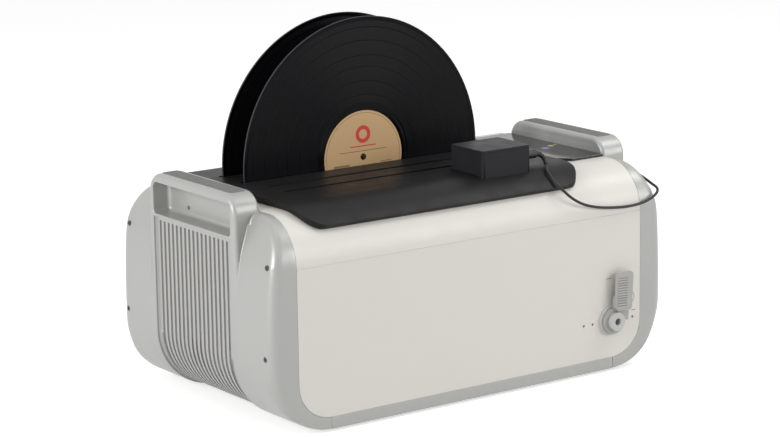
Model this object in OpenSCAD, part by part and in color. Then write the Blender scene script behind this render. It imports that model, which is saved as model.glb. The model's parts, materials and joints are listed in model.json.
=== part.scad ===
/* [Body] */
// Width over both end caps
body_w = 506; // [480:2:540]
// Depth from front panel to rear panel
body_d = 291; // [270:1:320]
// Height of the deck above the floor
deck_z = 221.5; // [212:0.5:232]
// Radius of the front and rear shoulders
shoulder_r = 49.5; // [40:0.5:54]
// Thickness of the moulded walls
wall_t = 3; // [2:0.1:4]
// Open seam between two shell pieces
seam = 0.3; // [0.2:0.05:0.6]
// Height of the rubber feet
foot_h = 3; // [2:0.5:6]
// Diameter of the rubber feet
foot_d = 24; // [14:1:36]
// Height of the trim tray's rim above its underside
trim_h = 13; // [9:0.5:18]
// Thickness of one end cap, measured along the machine
cap_t = 32; // [28:0.5:38]
// Radius of the end cap's lower outer corner
cap_corner_r = 70; // [60:1:80]
// Radius of the end cap's upright edges
cap_edge_r = 10; // [6:0.5:14]

/* [Handles] */
// Height of the handle's top above the deck
grip_rise = 19; // [15:0.5:24]
// Length of the handle block
grip_len = 165.4; // [158:0.2:180]
// Radius of the handle block's upper corners
grip_corner_r = 21; // [14:0.5:24]
// Thickness of the handle bar
grip_bar_t = 9; // [7:0.5:12]
// Length of the finger pocket
pocket_len = 149; // [120:1:150]
// Height of the finger pocket
pocket_h = 33.7; // [28:0.1:38]
// Depth of the finger pocket
pocket_depth = 20.6; // [16:0.2:22]
// Thickness of the grip patch
pad_t = 1; // [0.6:0.1:1.6]
// Depth of the recess for the grip patch
pad_recess = 0.7; // [0.4:0.1:1.2]
// Width of the grip patch
pad_w = 19; // [14:0.5:22]
// Length of the grip patch
pad_len = 132; // [110:1:138]

/* [Vents and cap screws] */
// Number of vent grooves in one end cap
vent_count = 17; // [11:2:17]
// Spacing of the vent grooves
vent_pitch = 8.07; // [7:0.01:8.5]
// Width of a vent groove
vent_w = 4.2; // [3:0.1:5]
// Depth of a vent groove
vent_depth = 2; // [1:0.1:2.2]
// Depth that the vent field is set back between the handle's pillars
vent_recess = 2.8; // [1:0.1:3]
// Height of the upper end of the grooves below the deck
vent_drop = 30.5; // [30:0.5:40]
// Width of the slot that goes through the wall in each groove
vent_slot_w = 2.4; // [1.5:0.1:2.8]
// Height of the lower end of the air slots in the left cap
left_slot_z = 47; // [44:1:56]
// Length of the air slots in the left cap
left_slot_h = 28; // [16:1:34]
// Half width of the field of air slots in the left cap
left_slot_half = 13; // [9:1:40]
// Distance of the cap screws from the front and rear faces
screw_inset = 11.9; // [11.5:0.1:14]
// Radius of a cap screw's head
screw_head_r = 2.8; // [2:0.1:3.4]
// Radius of a cap screw's shank
screw_shank_r = 1.5; // [1:0.1:2]

/* [Lid] */
// Left end of the lid
lid_left = -204; // [-212:1:-200]
// Right end of the lid
lid_right = 154; // [150:1:158]
// Thickness of the lid plate
lid_t = 6.7; // [5:0.1:9]
// Clearance between the lid and the deck
lid_gap = 0.3; // [0.3:0.05:0.6]
// Angle that the lid's edges wrap down the shoulders
lid_wrap = 48; // [40:1:52]
// Radius of the lid's corners in plan
lid_corner_r = 30; // [16:1:34]
// Width of the slots for records
slot_w = 6; // [5:0.2:8]
// Spacing of the two middle slots from the front record
slot_step = 34.5; // [33:0.5:36]
// Spacing of the two front slots
slot_front_step = 32.5; // [32:0.5:34]
// Length of the two front slots
slot_short_len = 288; // [250:2:296]

/* [Records] */
// Diameter of a record
rec_d = 301; // [298:0.5:302]
// Thickness of a record
rec_t = 2; // [1.4:0.1:2.6]
// Place of the record's centre along the machine
rec_x = -26; // [-30:1:-22]
// Height of the record's centre above the deck
rec_rise = 15.5; // [12:0.5:20]
// Place of the front record from the machine's middle
rec_y = 19; // [18:0.5:21]
// Spacing of the two records
rec_step = 41.3; // [41:0.1:42]
// Diameter of the paper label
label_d = 100; // [90:1:104]
// Thickness of the paper label
label_t = 0.2; // [0.1:0.05:0.4]
// Diameter of the spindle hole
spindle_d = 7.24; // [7:0.02:8]

/* [Tank] */
// Room from the left roller's axis to the bath's left end
left_room = 22.6; // [20:0.2:28]
// Room from the right roller's axis to the bath's right end
right_room = 24.6; // [21:0.2:26]
// Inner depth of the bath from front to rear
tank_d = 168; // [164:1:170]
// Room between the records and the bath's floor
floor_room = 11.5; // [6:0.5:16]
// Thickness of the tank's sheet
tank_t = 1.5; // [1:0.1:2]
// Width of the tank's flange
flange_w = 10; // [9:0.5:10.5]
// Radius of the bath's upright corners
tank_r = 16; // [10:1:20]
// Thickness of the gasket under the deck
gasket_t = 1; // [0.6:0.1:1.6]

/* [Rollers and drive] */
// Radius of a roller's rubber tyre
tyre_r = 9; // [8:0.1:10]
// Width of a roller's rubber tyre
tyre_w = 8; // [5:0.5:9]
// Clearance between a tyre and the record's rim
rim_gap = 0.3; // [0.3:0.05:0.6]
// Angle of the rollers from straight below the record's centre
roller_angle = 60; // [57:0.5:61]
// Radius of the roller shafts
shaft_r = 3; // [2.5:0.1:3.5]
// Running clearance of shafts and pins
run_gap = 0.05; // [0.02:0.01:0.1]
// Outer radius of a shaft bush
bush_r = 5; // [4.5:0.1:6]
// Thickness of a hanger plate
hanger_t = 3; // [2:0.2:4]
// Radius of a hanger's lower end
hanger_r = 8; // [7:0.2:9]
// Radius of the belt pulleys
pulley_r = 8; // [6:0.2:8.5]
// Thickness of the drive belt
belt_t = 1.5; // [1:0.1:2]
// Width of the drive belt
belt_w = 5; // [3:0.2:6]

/* [Motor box] */
// Left wall of the motor box
box_left = 32.5; // [28:0.5:36]
// Right wall of the motor box
box_right = 95.5; // [92:0.5:97]
// Front wall of the motor box
box_front = -115; // [-118:0.5:-114]
// Rear wall of the motor box
box_rear = -59; // [-60:0.5:-57]
// Height of the motor box above the lid
box_h = 26.2; // [25:0.2:32]
// Wall of the motor box
box_wall = 2.5; // [1.6:0.1:3]
// Thickness of the motor box's cover
box_cover_t = 3; // [2:0.2:3.2]
// Radius of the motor box's upright edges
box_edge_r = 3; // [1:0.2:5]
// Radius of the gear motor
motor_r = 10; // [8:0.2:10.4]
// Side of the square gear housing
gear_side = 22; // [20:0.5:22]

/* [Control glass] */
// Left edge of the control glass
glass_left = 164; // [160:1:168]
// Front edge of the control glass
glass_front = -83; // [-88:1:-80]
// Rear edge of the control glass
glass_rear = 82; // [78:1:88]
// Thickness of the control glass
glass_t = 3; // [2:0.2:4]
// Size of the cut corner along the machine
glass_cut_x = 14; // [8:1:18]
// Size of the cut corner across the machine
glass_cut_y = 16; // [8:1:20]

/* [Drain valve] */
// Place of the valve along the machine
valve_x = 180.5; // [178:0.5:182]
// Fall from the bath's floor to the valve's axis
drain_fall = 17.8; // [16:0.2:24]
// Radius of the valve's bezel
bezel_r = 16.3; // [15:0.1:18]
// Thickness of the valve's bezel
bezel_t = 2.7; // [2:0.1:3.5]
// Radius of the nozzle's collar
collar_r = 9.9; // [9:0.1:11]
// Length of the nozzle's collar
collar_len = 4.7; // [3:0.1:6]
// Radius of the nozzle's tube
nozzle_r = 7; // [6.4:0.1:7.4]
// Radius of the nozzle's bore
bore_r = 3.9; // [3:0.1:4.4]
// Length of the nozzle's bore
bore_len = 24; // [20:0.5:26]
// Outer radius of the turning sleeve
sleeve_r = 9; // [8.6:0.1:9.6]
// Radius of the lever's hub
hub_r = 14; // [12:0.2:15]
// Thickness of the lever's hub
hub_t = 4; // [3:0.1:5]
// Thickness of the lever's arm
arm_t = 4; // [3:0.1:4]
// Width of the lever's arm
arm_w = 21.8; // [18:0.2:24]
// Reach of the lever's arm above the valve's axis
arm_reach = 53.8; // [46:0.2:58]
// Tilt of the lever's arm at rest
arm_tilt = 3; // [0:0.5:5]
// Number of ribs on the lever's arm
rib_count = 12; // [8:1:12]
// Outer radius of the valve body
valve_body_r = 13; // [12.4:0.1:14]
// Outer radius of the drain pipe
pipe_r = 8; // [7:0.2:9]
// Wall of the drain pipe
pipe_t = 2; // [1:0.1:2.4]

/* [Electronics] */
// Side of the square fan
fan_side = 60; // [50:1:70]
// Thickness of the fan
fan_t = 15; // [12:0.5:18]
// Height of the fan's axis
fan_z = 110; // [100:1:120]
// Number of fan blades
fan_blades = 7; // [5:1:9]
// Thickness of the circuit boards
board_t = 1.6; // [1:0.1:2.4]
// Length of the generator board
board_len = 180; // [150:2:186]
// Height of the generator board
board_h = 120; // [100:2:140]
// Radius of an ultrasonic transducer
trans_r = 22; // [18:0.5:26]
// Height of an ultrasonic transducer
trans_h = 32; // [24:1:40]

/* [Mains inlet and switch] */
// Place of the mains inlet along the machine
inlet_x = 112; // [100:1:118]
// Place of the power switch along the machine
rocker_x = 165; // [162:1:170]
// Height of the mains inlet and the power switch
rear_z = 60; // [50:1:70]
// Reach of the power rocker behind the rear panel
rocker_out = 4; // [3:0.1:4]
// Tilt of the power rocker when it is off
rocker_tilt = 8; // [5:0.5:8]

/* [Low-voltage lead] */
// Diameter of the lead
lead_d = 3; // [2.6:0.1:3]
// Distance between turns and layers of the coil
coil_pitch = 3.5; // [3.5:0.1:4]
// Number of turns in the coil
coil_turns = 5; // [4:1:6]
// Radius of the coil's innermost turn
coil_inner_r = 12.6; // [12:0.1:16]
// Length of the wall adapter
adapter_len = 60; // [50:1:70]
// Width of the wall adapter
adapter_w = 40; // [34:1:48]
// Height of the wall adapter
adapter_h = 28; // [24:1:34]

/* [Hidden] */
$fn = 96;

// Body values that follow from the sizes above
hx = body_w / 2;
hy = body_d / 2;
shell_x = hx - cap_t;
seam_z = deck_z - shoulder_r;
shoulder_y = hy - shoulder_r;
trim_z = foot_h + trim_h;
tray_x = hx - cap_corner_r;
panel_corner_r = shell_x - tray_x;
cap_corner_z = foot_h + cap_corner_r;
over = 1;
grip_top_z = deck_z + grip_rise;
bar_z = grip_top_z - grip_bar_t;
pocket_z = bar_z - pocket_h;
block_low_z = cap_corner_z + 30;
vent_top_z = deck_z - vent_drop;
field_top_z = pocket_z - 3;
field_x = tray_x + 15;
field_half = pocket_len / 2;
ear_z = deck_z - 96.5;
patch_x = shell_x + cap_t / 2;

// The nozzle reaches further out in front than the rocker does at the rear
nozzle_y = -hy - bezel_t - 2 * seam - hub_t - collar_len;
rocker_y = hy + rocker_out;
origin_dy = -(nozzle_y + rocker_y) / 2;

// Lid and records
lid_low_z = deck_z + lid_gap;
lid_top_z = lid_low_z + lid_t;
lid_low_r = shoulder_r + lid_gap;
lid_top_r = lid_low_r + lid_t;
lid_half = shoulder_y + lid_top_r * sin(lid_wrap);
rec_r = rec_d / 2;
rec_z = deck_z + rec_rise;
rec_rear_y = rec_y + rec_step;
slot_ys = [rec_y - slot_step - slot_front_step, rec_y - slot_step, rec_y, rec_rear_y];
slot_long_half = rec_r + 4.5;
slot_short_left = rec_x - rec_r + 6.5;

// Rollers
roller_reach = rec_r + tyre_r + rim_gap;
roller_dx = roller_reach * sin(roller_angle);
roller_z = rec_z - roller_reach * cos(roller_angle);
drive_x = rec_x + roller_dx;
idle_x = rec_x - roller_dx;
hanger_front_y = slot_ys[0] - 14;
hanger_rear_y = rec_rear_y + tyre_w / 2 + 2;
belt_y = hanger_front_y - 6;
belt_len_gap = 0.05;

// Motor box
box_top_z = lid_top_z + box_h;
box_mid_x = (box_left + box_right) / 2;
cover_z = box_top_z - box_cover_t;
motor_z = lid_top_z + gear_side / 2;
belt_run = [drive_x - box_mid_x, roller_z - motor_z];
belt_length = norm(belt_run);
belt_angle = atan2(belt_run[1], belt_run[0]);
jack_y = box_front + 15;
jack_z = lid_top_z + 12;
jack_r = 5.5;
plug_r = 4.6;
plug_len = 16.7;
plug_x = box_right + 0.8;

// Tank
tank_left = idle_x - left_room;
tank_right = drive_x + right_room;
tank_floor_z = rec_z - rec_r - floor_room;
tank_half = tank_d / 2;
flange_top_z = deck_z - wall_t - gasket_t;
tank_low_z = tank_floor_z - tank_t;
base_t = 2;
base_z = foot_h + wall_t;
base_top_z = base_z + base_t;
post = flange_w - tank_t - seam;
drain_x = tank_right - 17;
drain_y = -tank_half + 17;

// Valve, from the panel outwards
valve_z = tank_floor_z - drain_fall;
bezel_y = -hy - bezel_t;
hub_y = bezel_y - seam;
hub_front_y = hub_y - hub_t;
collar_y = hub_front_y - seam;
valve_inner_y = -hy + wall_t;
valve_back_y = valve_inner_y + 27.5;
valve_wall = 3;
sleeve_back_y = valve_inner_y + 20.5;
port_y = valve_inner_y + 14.5;
hub_bore_r = nozzle_r + run_gap;

// Generator partition and fan
wall_x = tank_right + 5;
board_x = wall_x + 1.5 + 4;
board_mid_z = 110;
fan_x = hx - vent_recess - wall_t - fan_t;
fan_bore_r = fan_side / 2 - 2;

// Control glass
glass_z = deck_z + glass_t;
window = [glass_left + 12, glass_left + 48];
window_half = 50;

// Rear pieces
flange_out = 2;
inlet_w = 27;
inlet_h = 20;
rocker_half = 7.2;
rocker_high = 7.5;
rocker_pivot_y = rocker_y - rocker_high * cos(rocker_tilt) - rocker_half * sin(rocker_tilt);

// Low-voltage lead: its route from the strain relief to the coil
lead_r = lead_d / 2;
relief_route = [
  [113, -100, 240.5], [117, -101, 240], [120.5, -103, 237.5],
  [121.5, -106.5, 233.5], [119.5, -111, 230]
];
lead_route = [
  [119.5, -111, 230], [115.5, -116.5, 227.5], [112, -123, 224.5],
  [111, -131, 219.5], [112.5, -138.5, 213.5], [117, -145, 206],
  [126, -148.5, 197.5], [141, -149, 189.5], [160, -148.5, 184],
  [180, -148.5, 181], [200, -148.5, 179.5], [219, -149, 180.5],
  [233, -149, 184], [243, -147, 188.5], [249, -140.5, 192],
  [251.5, -128, 195], [253.5, -112, 199], [255.5, -95, 202],
  [255.6, -76, 202.9], [251, -65, 201], [245, -48, 199.8],
  [243, -25, 199.7], [243, 0, 199.7], [243, 25, 199.7], [245, 46, 199.8],
  [250.5, 62.5, 201], [255.6, 75, 202.9], [258, 90, 202.5], [260, 105, 195],
  [261, 120, 178], [260, 134, 150], [257, 146, 112], [252, 156, 72],
  [246, 165, 38], [239, 173, 16], [229, 181, 5], [218, 188, 2.2],
  [206, 192, 1.7], [194, 193.5, 1.6]
];
coil_entry = [183, 193.5, 1.6];
coil_step = 24;
coil_sides = 6;
lead_sides = 8;
coil_outer_r = coil_inner_r + coil_pitch * coil_turns / 2;
coil_mid = [coil_entry[0] - lead_d, coil_entry[1] + coil_outer_r];
coil_tail = 12;
coil_top_z = coil_entry[2] + coil_pitch;
adapter_relief_len = 14;
adapter_x = coil_mid[0] - coil_tail - adapter_relief_len;

// Helpers
module place() {
  translate([0, origin_dy, 0]) children();
}
module block(x0, x1, y0, y1, z0, z1) {
  translate([x0, y0, z0]) cube([x1 - x0, y1 - y0, z1 - z0]);
}
module along_x(x0, x1) {
  translate([x0, 0, 0]) rotate([90, 0, 90]) linear_extrude(x1 - x0) children();
}
module along_y(y0, y1) {
  translate([0, y1, 0]) rotate([90, 0, 0]) linear_extrude(y1 - y0) children();
}
module along_z(z0, z1) {
  translate([0, 0, z0]) linear_extrude(z1 - z0) children();
}
module rod_x(r, x0, x1, y, z) {
  translate([x0, y, z]) rotate([0, 90, 0]) cylinder(h = x1 - x0, r = r);
}
module rod_y(r, y0, y1, x, z) {
  translate([x, y1, z]) rotate([90, 0, 0]) cylinder(h = y1 - y0, r = r);
}
module rod_z(r, z0, z1, x, y) {
  translate([x, y, z0]) cylinder(h = z1 - z0, r = r);
}
module area(x0, x1, y0, y1) {
  translate([x0, y0]) square([x1 - x0, y1 - y0]);
}
module round_area(x0, x1, y0, y1, r) {
  area(x0 + r, x1 - r, y0, y1);
  area(x0, x1, y0 + r, y1 - r);
  for (x = [x0 + r, x1 - r], y = [y0 + r, y1 - r]) translate([x, y]) circle(r = r);
}

// A tube through rings of points, each ring square to the route
function unit(v) = v / norm(v);
function blend4(a, b, c, d, t) =
  0.5 * ((2 * b) + (c - a) * t + (2 * a - 5 * b + 4 * c - d) * t * t
  + (3 * b - a - 3 * c + d) * t * t * t);
function smooth_route(p, steps) = [
  for (i = [0 : len(p) - 2], k = [0 : steps - 1])
    blend4(p[max(i - 1, 0)], p[i], p[i + 1], p[min(i + 2, len(p) - 1)], k / steps),
  p[len(p) - 1]
];
function heading(p, i) = unit(p[min(i + 1, len(p) - 1)] - p[max(i - 1, 0)]);
function ring_side(h) = unit(cross(h, abs(h[2]) < 0.9 ? [0, 0, 1] : [0, 1, 0]));
function ring(c, h, r, sides) =
  let (a = ring_side(h), b = cross(a, h))
  [for (k = [0 : sides - 1]) c + r * (cos(360 * k / sides) * a + sin(360 * k / sides) * b)];
module tube(p, radii, first_heading, last_heading, sides) {
  n = len(p);
  heads = [
    for (i = [0 : n - 1]) i == 0 ? first_heading : i == n - 1 ? last_heading : heading(p, i)
  ];
  points = [for (i = [0 : n - 1]) each ring(p[i], heads[i], radii[i], sides)];
  skin = [
    for (i = [0 : n - 2], k = [0 : sides - 1])
      let (a = i * sides + k, b = i * sides + (k + 1) % sides)
      each [[a, a + sides, b], [b, a + sides, b + sides]]
  ];
  caps = [
    for (k = [1 : sides - 2])
      each [[0, k, k + 1], [(n - 1) * sides, (n - 1) * sides + k + 1, (n - 1) * sides + k]]
  ];
  polyhedron(points = points, faces = concat(skin, caps));
}

// Outlines of the shell
module body_outline(inset) {
  area(-hy + inset, hy - inset, foot_h + inset, seam_z);
  area(-shoulder_y, shoulder_y, seam_z - over, deck_z - inset);
  for (s = [-1, 1]) translate([s * shoulder_y, seam_z]) circle(r = shoulder_r - inset);
}
module panel_outline(grow, top_z) {
  r = panel_corner_r + grow;
  area(-shell_x - grow, shell_x + grow, trim_z + panel_corner_r, top_z);
  area(-tray_x, tray_x, trim_z - grow, top_z);
  for (s = [-1, 1]) translate([s * tray_x, trim_z + panel_corner_r]) circle(r = r);
}
module corner_outline(inset) {
  intersection() {
    translate([tray_x, cap_corner_z]) circle(r = cap_corner_r - inset);
    area(tray_x, hx + over, 0, cap_corner_z + over);
  }
}
module field_outline(inset) {
  corner_outline(inset);
  area(tray_x, hx - inset, cap_corner_z, grip_top_z);
}
module cap_outline(inset) {
  x = hx - inset;
  corner_outline(inset);
  polygon([
    [tray_x, cap_corner_z], [x, cap_corner_z], [x, ear_z], [x - 1.4, ear_z + 25],
    [x - 4.3, ear_z + 51], [x - 9.2, ear_z + 68], [x - 12, ear_z + 76],
    [x - 16.2, ear_z + 87 - inset * 0.3], [x - 19.5, ear_z + 92.5 - inset * 0.6],
    [x - 25, deck_z - 0.5 - inset], [shell_x, deck_z - inset], [tray_x, deck_z - inset]
  ]);
}
module grip_outline(inset) {
  h = grip_len / 2;
  z = grip_top_z - grip_corner_r;
  area(-h + inset, h - inset, block_low_z, z);
  area(-h + grip_corner_r, h - grip_corner_r, z - over, grip_top_z - inset);
  for (s = [-1, 1]) translate([s * (h - grip_corner_r), z]) circle(r = grip_corner_r - inset);
}
module cap_body(inset) {
  intersection() {
    along_y(-hy, hy) cap_outline(inset);
    along_x(tray_x, hx) body_outline(inset);
    along_z(0, deck_z) {
      round_area(-hx + inset, hx - inset, -hy + inset, hy - inset, cap_edge_r - inset);
    }
  }
}
module screw_place() {
  for (s = [-1, 1]) {
    translate([hx - 4.3, s * (hy - screw_inset), ear_z + 51]) children();
    translate([hx, s * (hy - screw_inset), cap_corner_z + 11]) children();
  }
}
module set_back(depth, y0, y1, top_z) {
  along_y(y0, y1) difference() {
    area(field_x, hx + over, 0, top_z);
    field_outline(depth);
  }
}
module vent_cutter(low_z, high_z, half) {
  y0 = -vent_pitch * (vent_count - 1) / 2;
  for (i = [0 : vent_count - 1]) {
    y = y0 + i * vent_pitch;
    set_back(vent_recess + vent_depth, y - vent_w / 2, y + vent_w / 2, vent_top_z);
    if (abs(y) < half) {
      block(hx - vent_recess - wall_t - 7, hx + over, y - vent_slot_w / 2, y + vent_slot_w / 2,
        low_z, high_z);
    }
  }
}
module end_cap(slot_low_z, slot_high_z, slot_half) {
  pocket_x = hx - pocket_depth;
  half = pocket_len / 2;
  difference() {
    union() {
      cap_body(0);
      along_x(shell_x + seam, hx) intersection() {
        grip_outline(0);
        area(-hy, hy, 0, bar_z);
      }
    }
    along_y(-hy - over, hy + over) panel_outline(seam, grip_top_z);
    block(tray_x - over, tray_x + seam, -hy - over, hy + over, 0, trim_z + over);
    difference() {
      union() {
        cap_body(wall_t);
        along_x(shell_x + wall_t, hx - wall_t) grip_outline(wall_t);
      }
      block(pocket_x - wall_t, hx, -half - wall_t, half + wall_t, pocket_z - wall_t, grip_top_z);
      intersection() {
        set_back(vent_recess + wall_t, -field_half - wall_t, field_half + wall_t, field_top_z);
        block(field_x, hx, -hy, hy, foot_h, grip_top_z);
      }
    }
    set_back(vent_recess, -field_half, field_half, field_top_z);
    block(pocket_x, hx + over, -half, half, pocket_z, bar_z + over);
    vent_cutter(slot_low_z, slot_high_z, slot_half);
    screw_place() rod_x(screw_head_r + 0.2, -1.5, 4, 0, 0);
    screw_place() rod_x(screw_shank_r, -12, 0, 0, 0);
  }
}
module handle_grip() {
  difference() {
    along_x(shell_x + seam, hx) intersection() {
      grip_outline(0);
      area(-hy, hy, bar_z, grip_top_z);
    }
    along_z(grip_top_z - pad_recess, grip_top_z + over) patch_area(0.1);
  }
}
module patch_area(grow) {
  x0 = patch_x - pad_w / 2 - grow;
  x1 = patch_x + pad_w / 2 + grow;
  half = pad_len / 2 + grow;
  round_area(x0, x1, -half, half, 3);
}

// Shell
module top_cover() color("gainsboro") place() {
  difference() {
    along_x(-shell_x, shell_x) difference() {
      body_outline(0);
      body_outline(wall_t);
      area(-hy - over, hy + over, 0, seam_z + seam);
    }
    along_z(deck_z - wall_t - over, deck_z + over) {
      round_area(tank_left, tank_right, -tank_half, tank_half, tank_r);
      round_area(window[0], window[1], -window_half, window_half, 3);
    }
  }
}
module panel(front_y, rear_y) {
  along_y(front_y, rear_y) intersection() {
    panel_outline(0, seam_z);
    area(-shell_x, shell_x, trim_z, seam_z);
  }
}
module front_panel() color("gainsboro") place() {
  difference() {
    panel(-hy, -hy + wall_t);
    rod_y(sleeve_r + 0.5, -hy - over, -hy + wall_t + over, valve_x, valve_z);
    for (dx = [-37.5, -25.5, 30]) {
      rod_y(1.4, -hy - over, -hy + wall_t + over, valve_x + dx, valve_z - 1.2);
    }
  }
}
module rear_panel() color("gainsboro") place() {
  difference() {
    panel(hy - wall_t, hy);
    block(inlet_x - inlet_w / 2, inlet_x + inlet_w / 2, hy - wall_t - over, hy + over,
      rear_z - inlet_h / 2, rear_z + inlet_h / 2);
    block(rocker_x - 6.5, rocker_x + 6.5, hy - wall_t - over, hy + over,
      rear_z - 9.5, rear_z + 9.5);
    for (i = [0 : 9]) {
      block(-60 + i * 8, -56 + i * 8, hy - wall_t - over, hy + over, 90, 130);
    }
  }
}
module bottom_tray() color("silver") place() {
  difference() {
    block(-tray_x, tray_x, -hy, hy, foot_h, trim_z);
    block(-tray_x - over, tray_x + over, -hy + wall_t, hy - wall_t, base_z, trim_z + over);
  }
}
module feet() color("dimgray") place() {
  for (sx = [-1, 1], sy = [-1, 1]) translate([sx * (tray_x - 23), sy * (hy - 30), 0]) {
    rotate_extrude() polygon([
      [0, 0], [foot_d / 2 - 1, 0], [foot_d / 2, 1], [foot_d / 2, foot_h], [0, foot_h]
    ]);
  }
}
module left_end_cap() color("darkgray") place() mirror([1, 0, 0]) {
  end_cap(left_slot_z, left_slot_z + left_slot_h, left_slot_half);
}
module right_end_cap() color("darkgray") place() {
  end_cap(fan_z - fan_bore_r, fan_z + fan_bore_r, fan_bore_r);
}
module left_handle_grip() color("darkgray") place() mirror([1, 0, 0]) handle_grip();
module right_handle_grip() color("darkgray") place() handle_grip();
module grip_patches() color("gray") place() {
  for (m = [0, 1]) mirror([m, 0, 0]) {
    along_z(grip_top_z - pad_recess, grip_top_z - pad_recess + pad_t) patch_area(0);
  }
}
module cap_screws() color("dimgray") place() {
  for (m = [0, 1]) mirror([m, 0, 0]) screw_place() {
    difference() {
      rod_x(screw_head_r, -1.5, -0.1, 0, 0);
      rod_x(1.2, -0.9, over, 0, 0);
    }
    rod_x(screw_shank_r, -10, -1.5, 0, 0);
  }
}

// Inside
module chassis_frame() color("slategray") place() {
  block(-tray_x + 3, tray_x - 3, -hy + wall_t + 1, hy - wall_t - 1, base_z, base_top_z);
  for (x = [tank_left - flange_w, tank_right + flange_w - post]) {
    for (y = [-tank_half - flange_w, tank_half + flange_w - post]) {
      px = x < 0 ? max(x, -tray_x + 3) : x;
      difference() {
        block(px, px + post, y, y + post, base_top_z, flange_top_z - tank_t);
        block(px + 1.5, px + post - 1.5, y + 1.5, y + post - 1.5, base_top_z + 1, flange_top_z);
      }
    }
  }
  block(wall_x, wall_x + 1.5, -board_len / 2 - 3, board_len / 2 + 3, base_top_z, board_mid_z + 80);
}
module tank() color("lightsteelblue") place() {
  difference() {
    union() {
      along_z(tank_low_z, flange_top_z) round_area(tank_left - tank_t, tank_right + tank_t,
        -tank_half - tank_t, tank_half + tank_t, tank_r + tank_t);
      along_z(flange_top_z - tank_t, flange_top_z) round_area(tank_left - flange_w,
        tank_right + flange_w, -tank_half - flange_w, tank_half + flange_w, tank_r);
    }
    along_z(tank_floor_z, flange_top_z + over) {
      round_area(tank_left, tank_right, -tank_half, tank_half, tank_r);
    }
    rod_z(pipe_r - pipe_t, tank_low_z - over, tank_floor_z + over, drain_x, drain_y);
  }
}
module tank_gasket() color("black") place() {
  along_z(flange_top_z, flange_top_z + gasket_t) difference() {
    round_area(tank_left - flange_w, tank_right + flange_w,
      -tank_half - flange_w, tank_half + flange_w, tank_r);
    round_area(tank_left - 2, tank_right + 2, -tank_half - 2, tank_half + 2, tank_r);
  }
}
module transducers() color("lightgray") place() {
  for (x = [-105, 55], y = [-50, 50]) {
    rod_z(trans_r, tank_low_z - trans_h * 0.3, tank_low_z, x, y);
    rod_z(trans_r - 4, tank_low_z - trans_h * 0.65, tank_low_z - trans_h * 0.3, x, y);
    rod_z(trans_r - 2, tank_low_z - trans_h, tank_low_z - trans_h * 0.65, x, y);
  }
}
module heater_pad() color("orangered") place() {
  along_z(tank_low_z - 3, tank_low_z) round_area(-70, 20, -30, 30, 4);
}
module pipe_run(r, grow) {
  rod_z(r, valve_z, tank_low_z + grow, drain_x, drain_y);
  rod_y(r, port_y, drain_y, drain_x, valve_z);
  rod_x(r, drain_x, valve_x - 5, port_y, valve_z);
  translate([drain_x, drain_y, valve_z]) sphere(r = r);
  translate([drain_x, port_y, valve_z]) sphere(r = r);
}
module drain_pipe() color("white") place() {
  difference() {
    pipe_run(pipe_r, 0);
    pipe_run(pipe_r - pipe_t, over);
    rod_y(valve_body_r, valve_inner_y, valve_back_y, valve_x, valve_z);
  }
}
module valve_body() color("white") place() {
  difference() {
    union() {
      rod_y(valve_body_r, valve_inner_y, valve_back_y, valve_x, valve_z);
      rod_y(valve_body_r + 4, valve_inner_y, valve_inner_y + 3, valve_x, valve_z);
    }
    rod_y(sleeve_r + run_gap, valve_inner_y - over, valve_inner_y + 4, valve_x, valve_z);
    rod_y(sleeve_r + 1.5, valve_inner_y + 4, valve_back_y - valve_wall, valve_x, valve_z);
    rod_x(pipe_r - pipe_t, valve_x - valve_body_r - over, valve_x, port_y, valve_z);
  }
}
module valve_bezel() color("silver") place() {
  translate([valve_x, -hy, valve_z]) rotate([90, 0, 0]) rotate_extrude() difference() {
    union() {
      area(0, bezel_r, 0, bezel_t - 1.2);
      area(0, bezel_r - 1.2, 0, bezel_t);
      translate([bezel_r - 1.2, bezel_t - 1.2]) circle(r = 1.2);
    }
    area(-2, sleeve_r + 0.3, -over, bezel_t + over);
  }
}
module drain_nozzle() color("silver") place() {
  difference() {
    union() {
      rod_y(nozzle_r, nozzle_y, valve_back_y - valve_wall, valve_x, valve_z);
      rod_y(collar_r, nozzle_y, collar_y, valve_x, valve_z);
    }
    rod_y(bore_r, nozzle_y - over, nozzle_y + bore_len, valve_x, valve_z);
    rod_y(bore_r - 0.9, nozzle_y + bore_len - over, valve_back_y - valve_wall - 2,
      valve_x, valve_z);
    rod_x(bore_r - 1, valve_x - nozzle_r - over, valve_x, port_y, valve_z);
  }
}
module valve_core() color("gold") place() {
  difference() {
    rod_y(sleeve_r, hub_y, sleeve_back_y, valve_x, valve_z);
    rod_y(hub_bore_r, hub_y - over, sleeve_back_y + over, valve_x, valve_z);
    rod_z(bore_r - 1, valve_z - sleeve_r - over, valve_z, valve_x, port_y);
  }
}
module valve_lever() color("silver") place() {
  rib_pitch = (arm_reach - 18) / (rib_count + 1);
  arm_back_y = hub_front_y;
  arm_x = -2.3;
  difference() {
    union() {
      rod_y(hub_r, hub_front_y, hub_y, valve_x, valve_z);
      translate([valve_x, 0, valve_z]) rotate([0, arm_tilt, 0]) {
        along_y(hub_front_y, hub_y - 0.3) area(arm_x + 1, arm_x + arm_w - 1, 0, arm_reach * 0.5);
        along_y(arm_back_y - arm_t, arm_back_y) {
          round_area(arm_x, arm_x + arm_w, collar_r + 1.5, arm_reach, 4);
        }
        for (i = [1 : rib_count]) {
          z = collar_r + 3 + i * rib_pitch;
          block(arm_x + 1.5, arm_x + arm_w * 0.66, arm_back_y - arm_t - 0.6,
            arm_back_y - arm_t + 0.2, z - 0.7, z + 0.7);
        }
      }
    }
    rod_y(hub_bore_r, hub_front_y - over, hub_y + over, valve_x, valve_z);
    rod_y(collar_r + 0.5, hub_front_y - arm_t - over, hub_front_y, valve_x, valve_z);
  }
}
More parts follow.
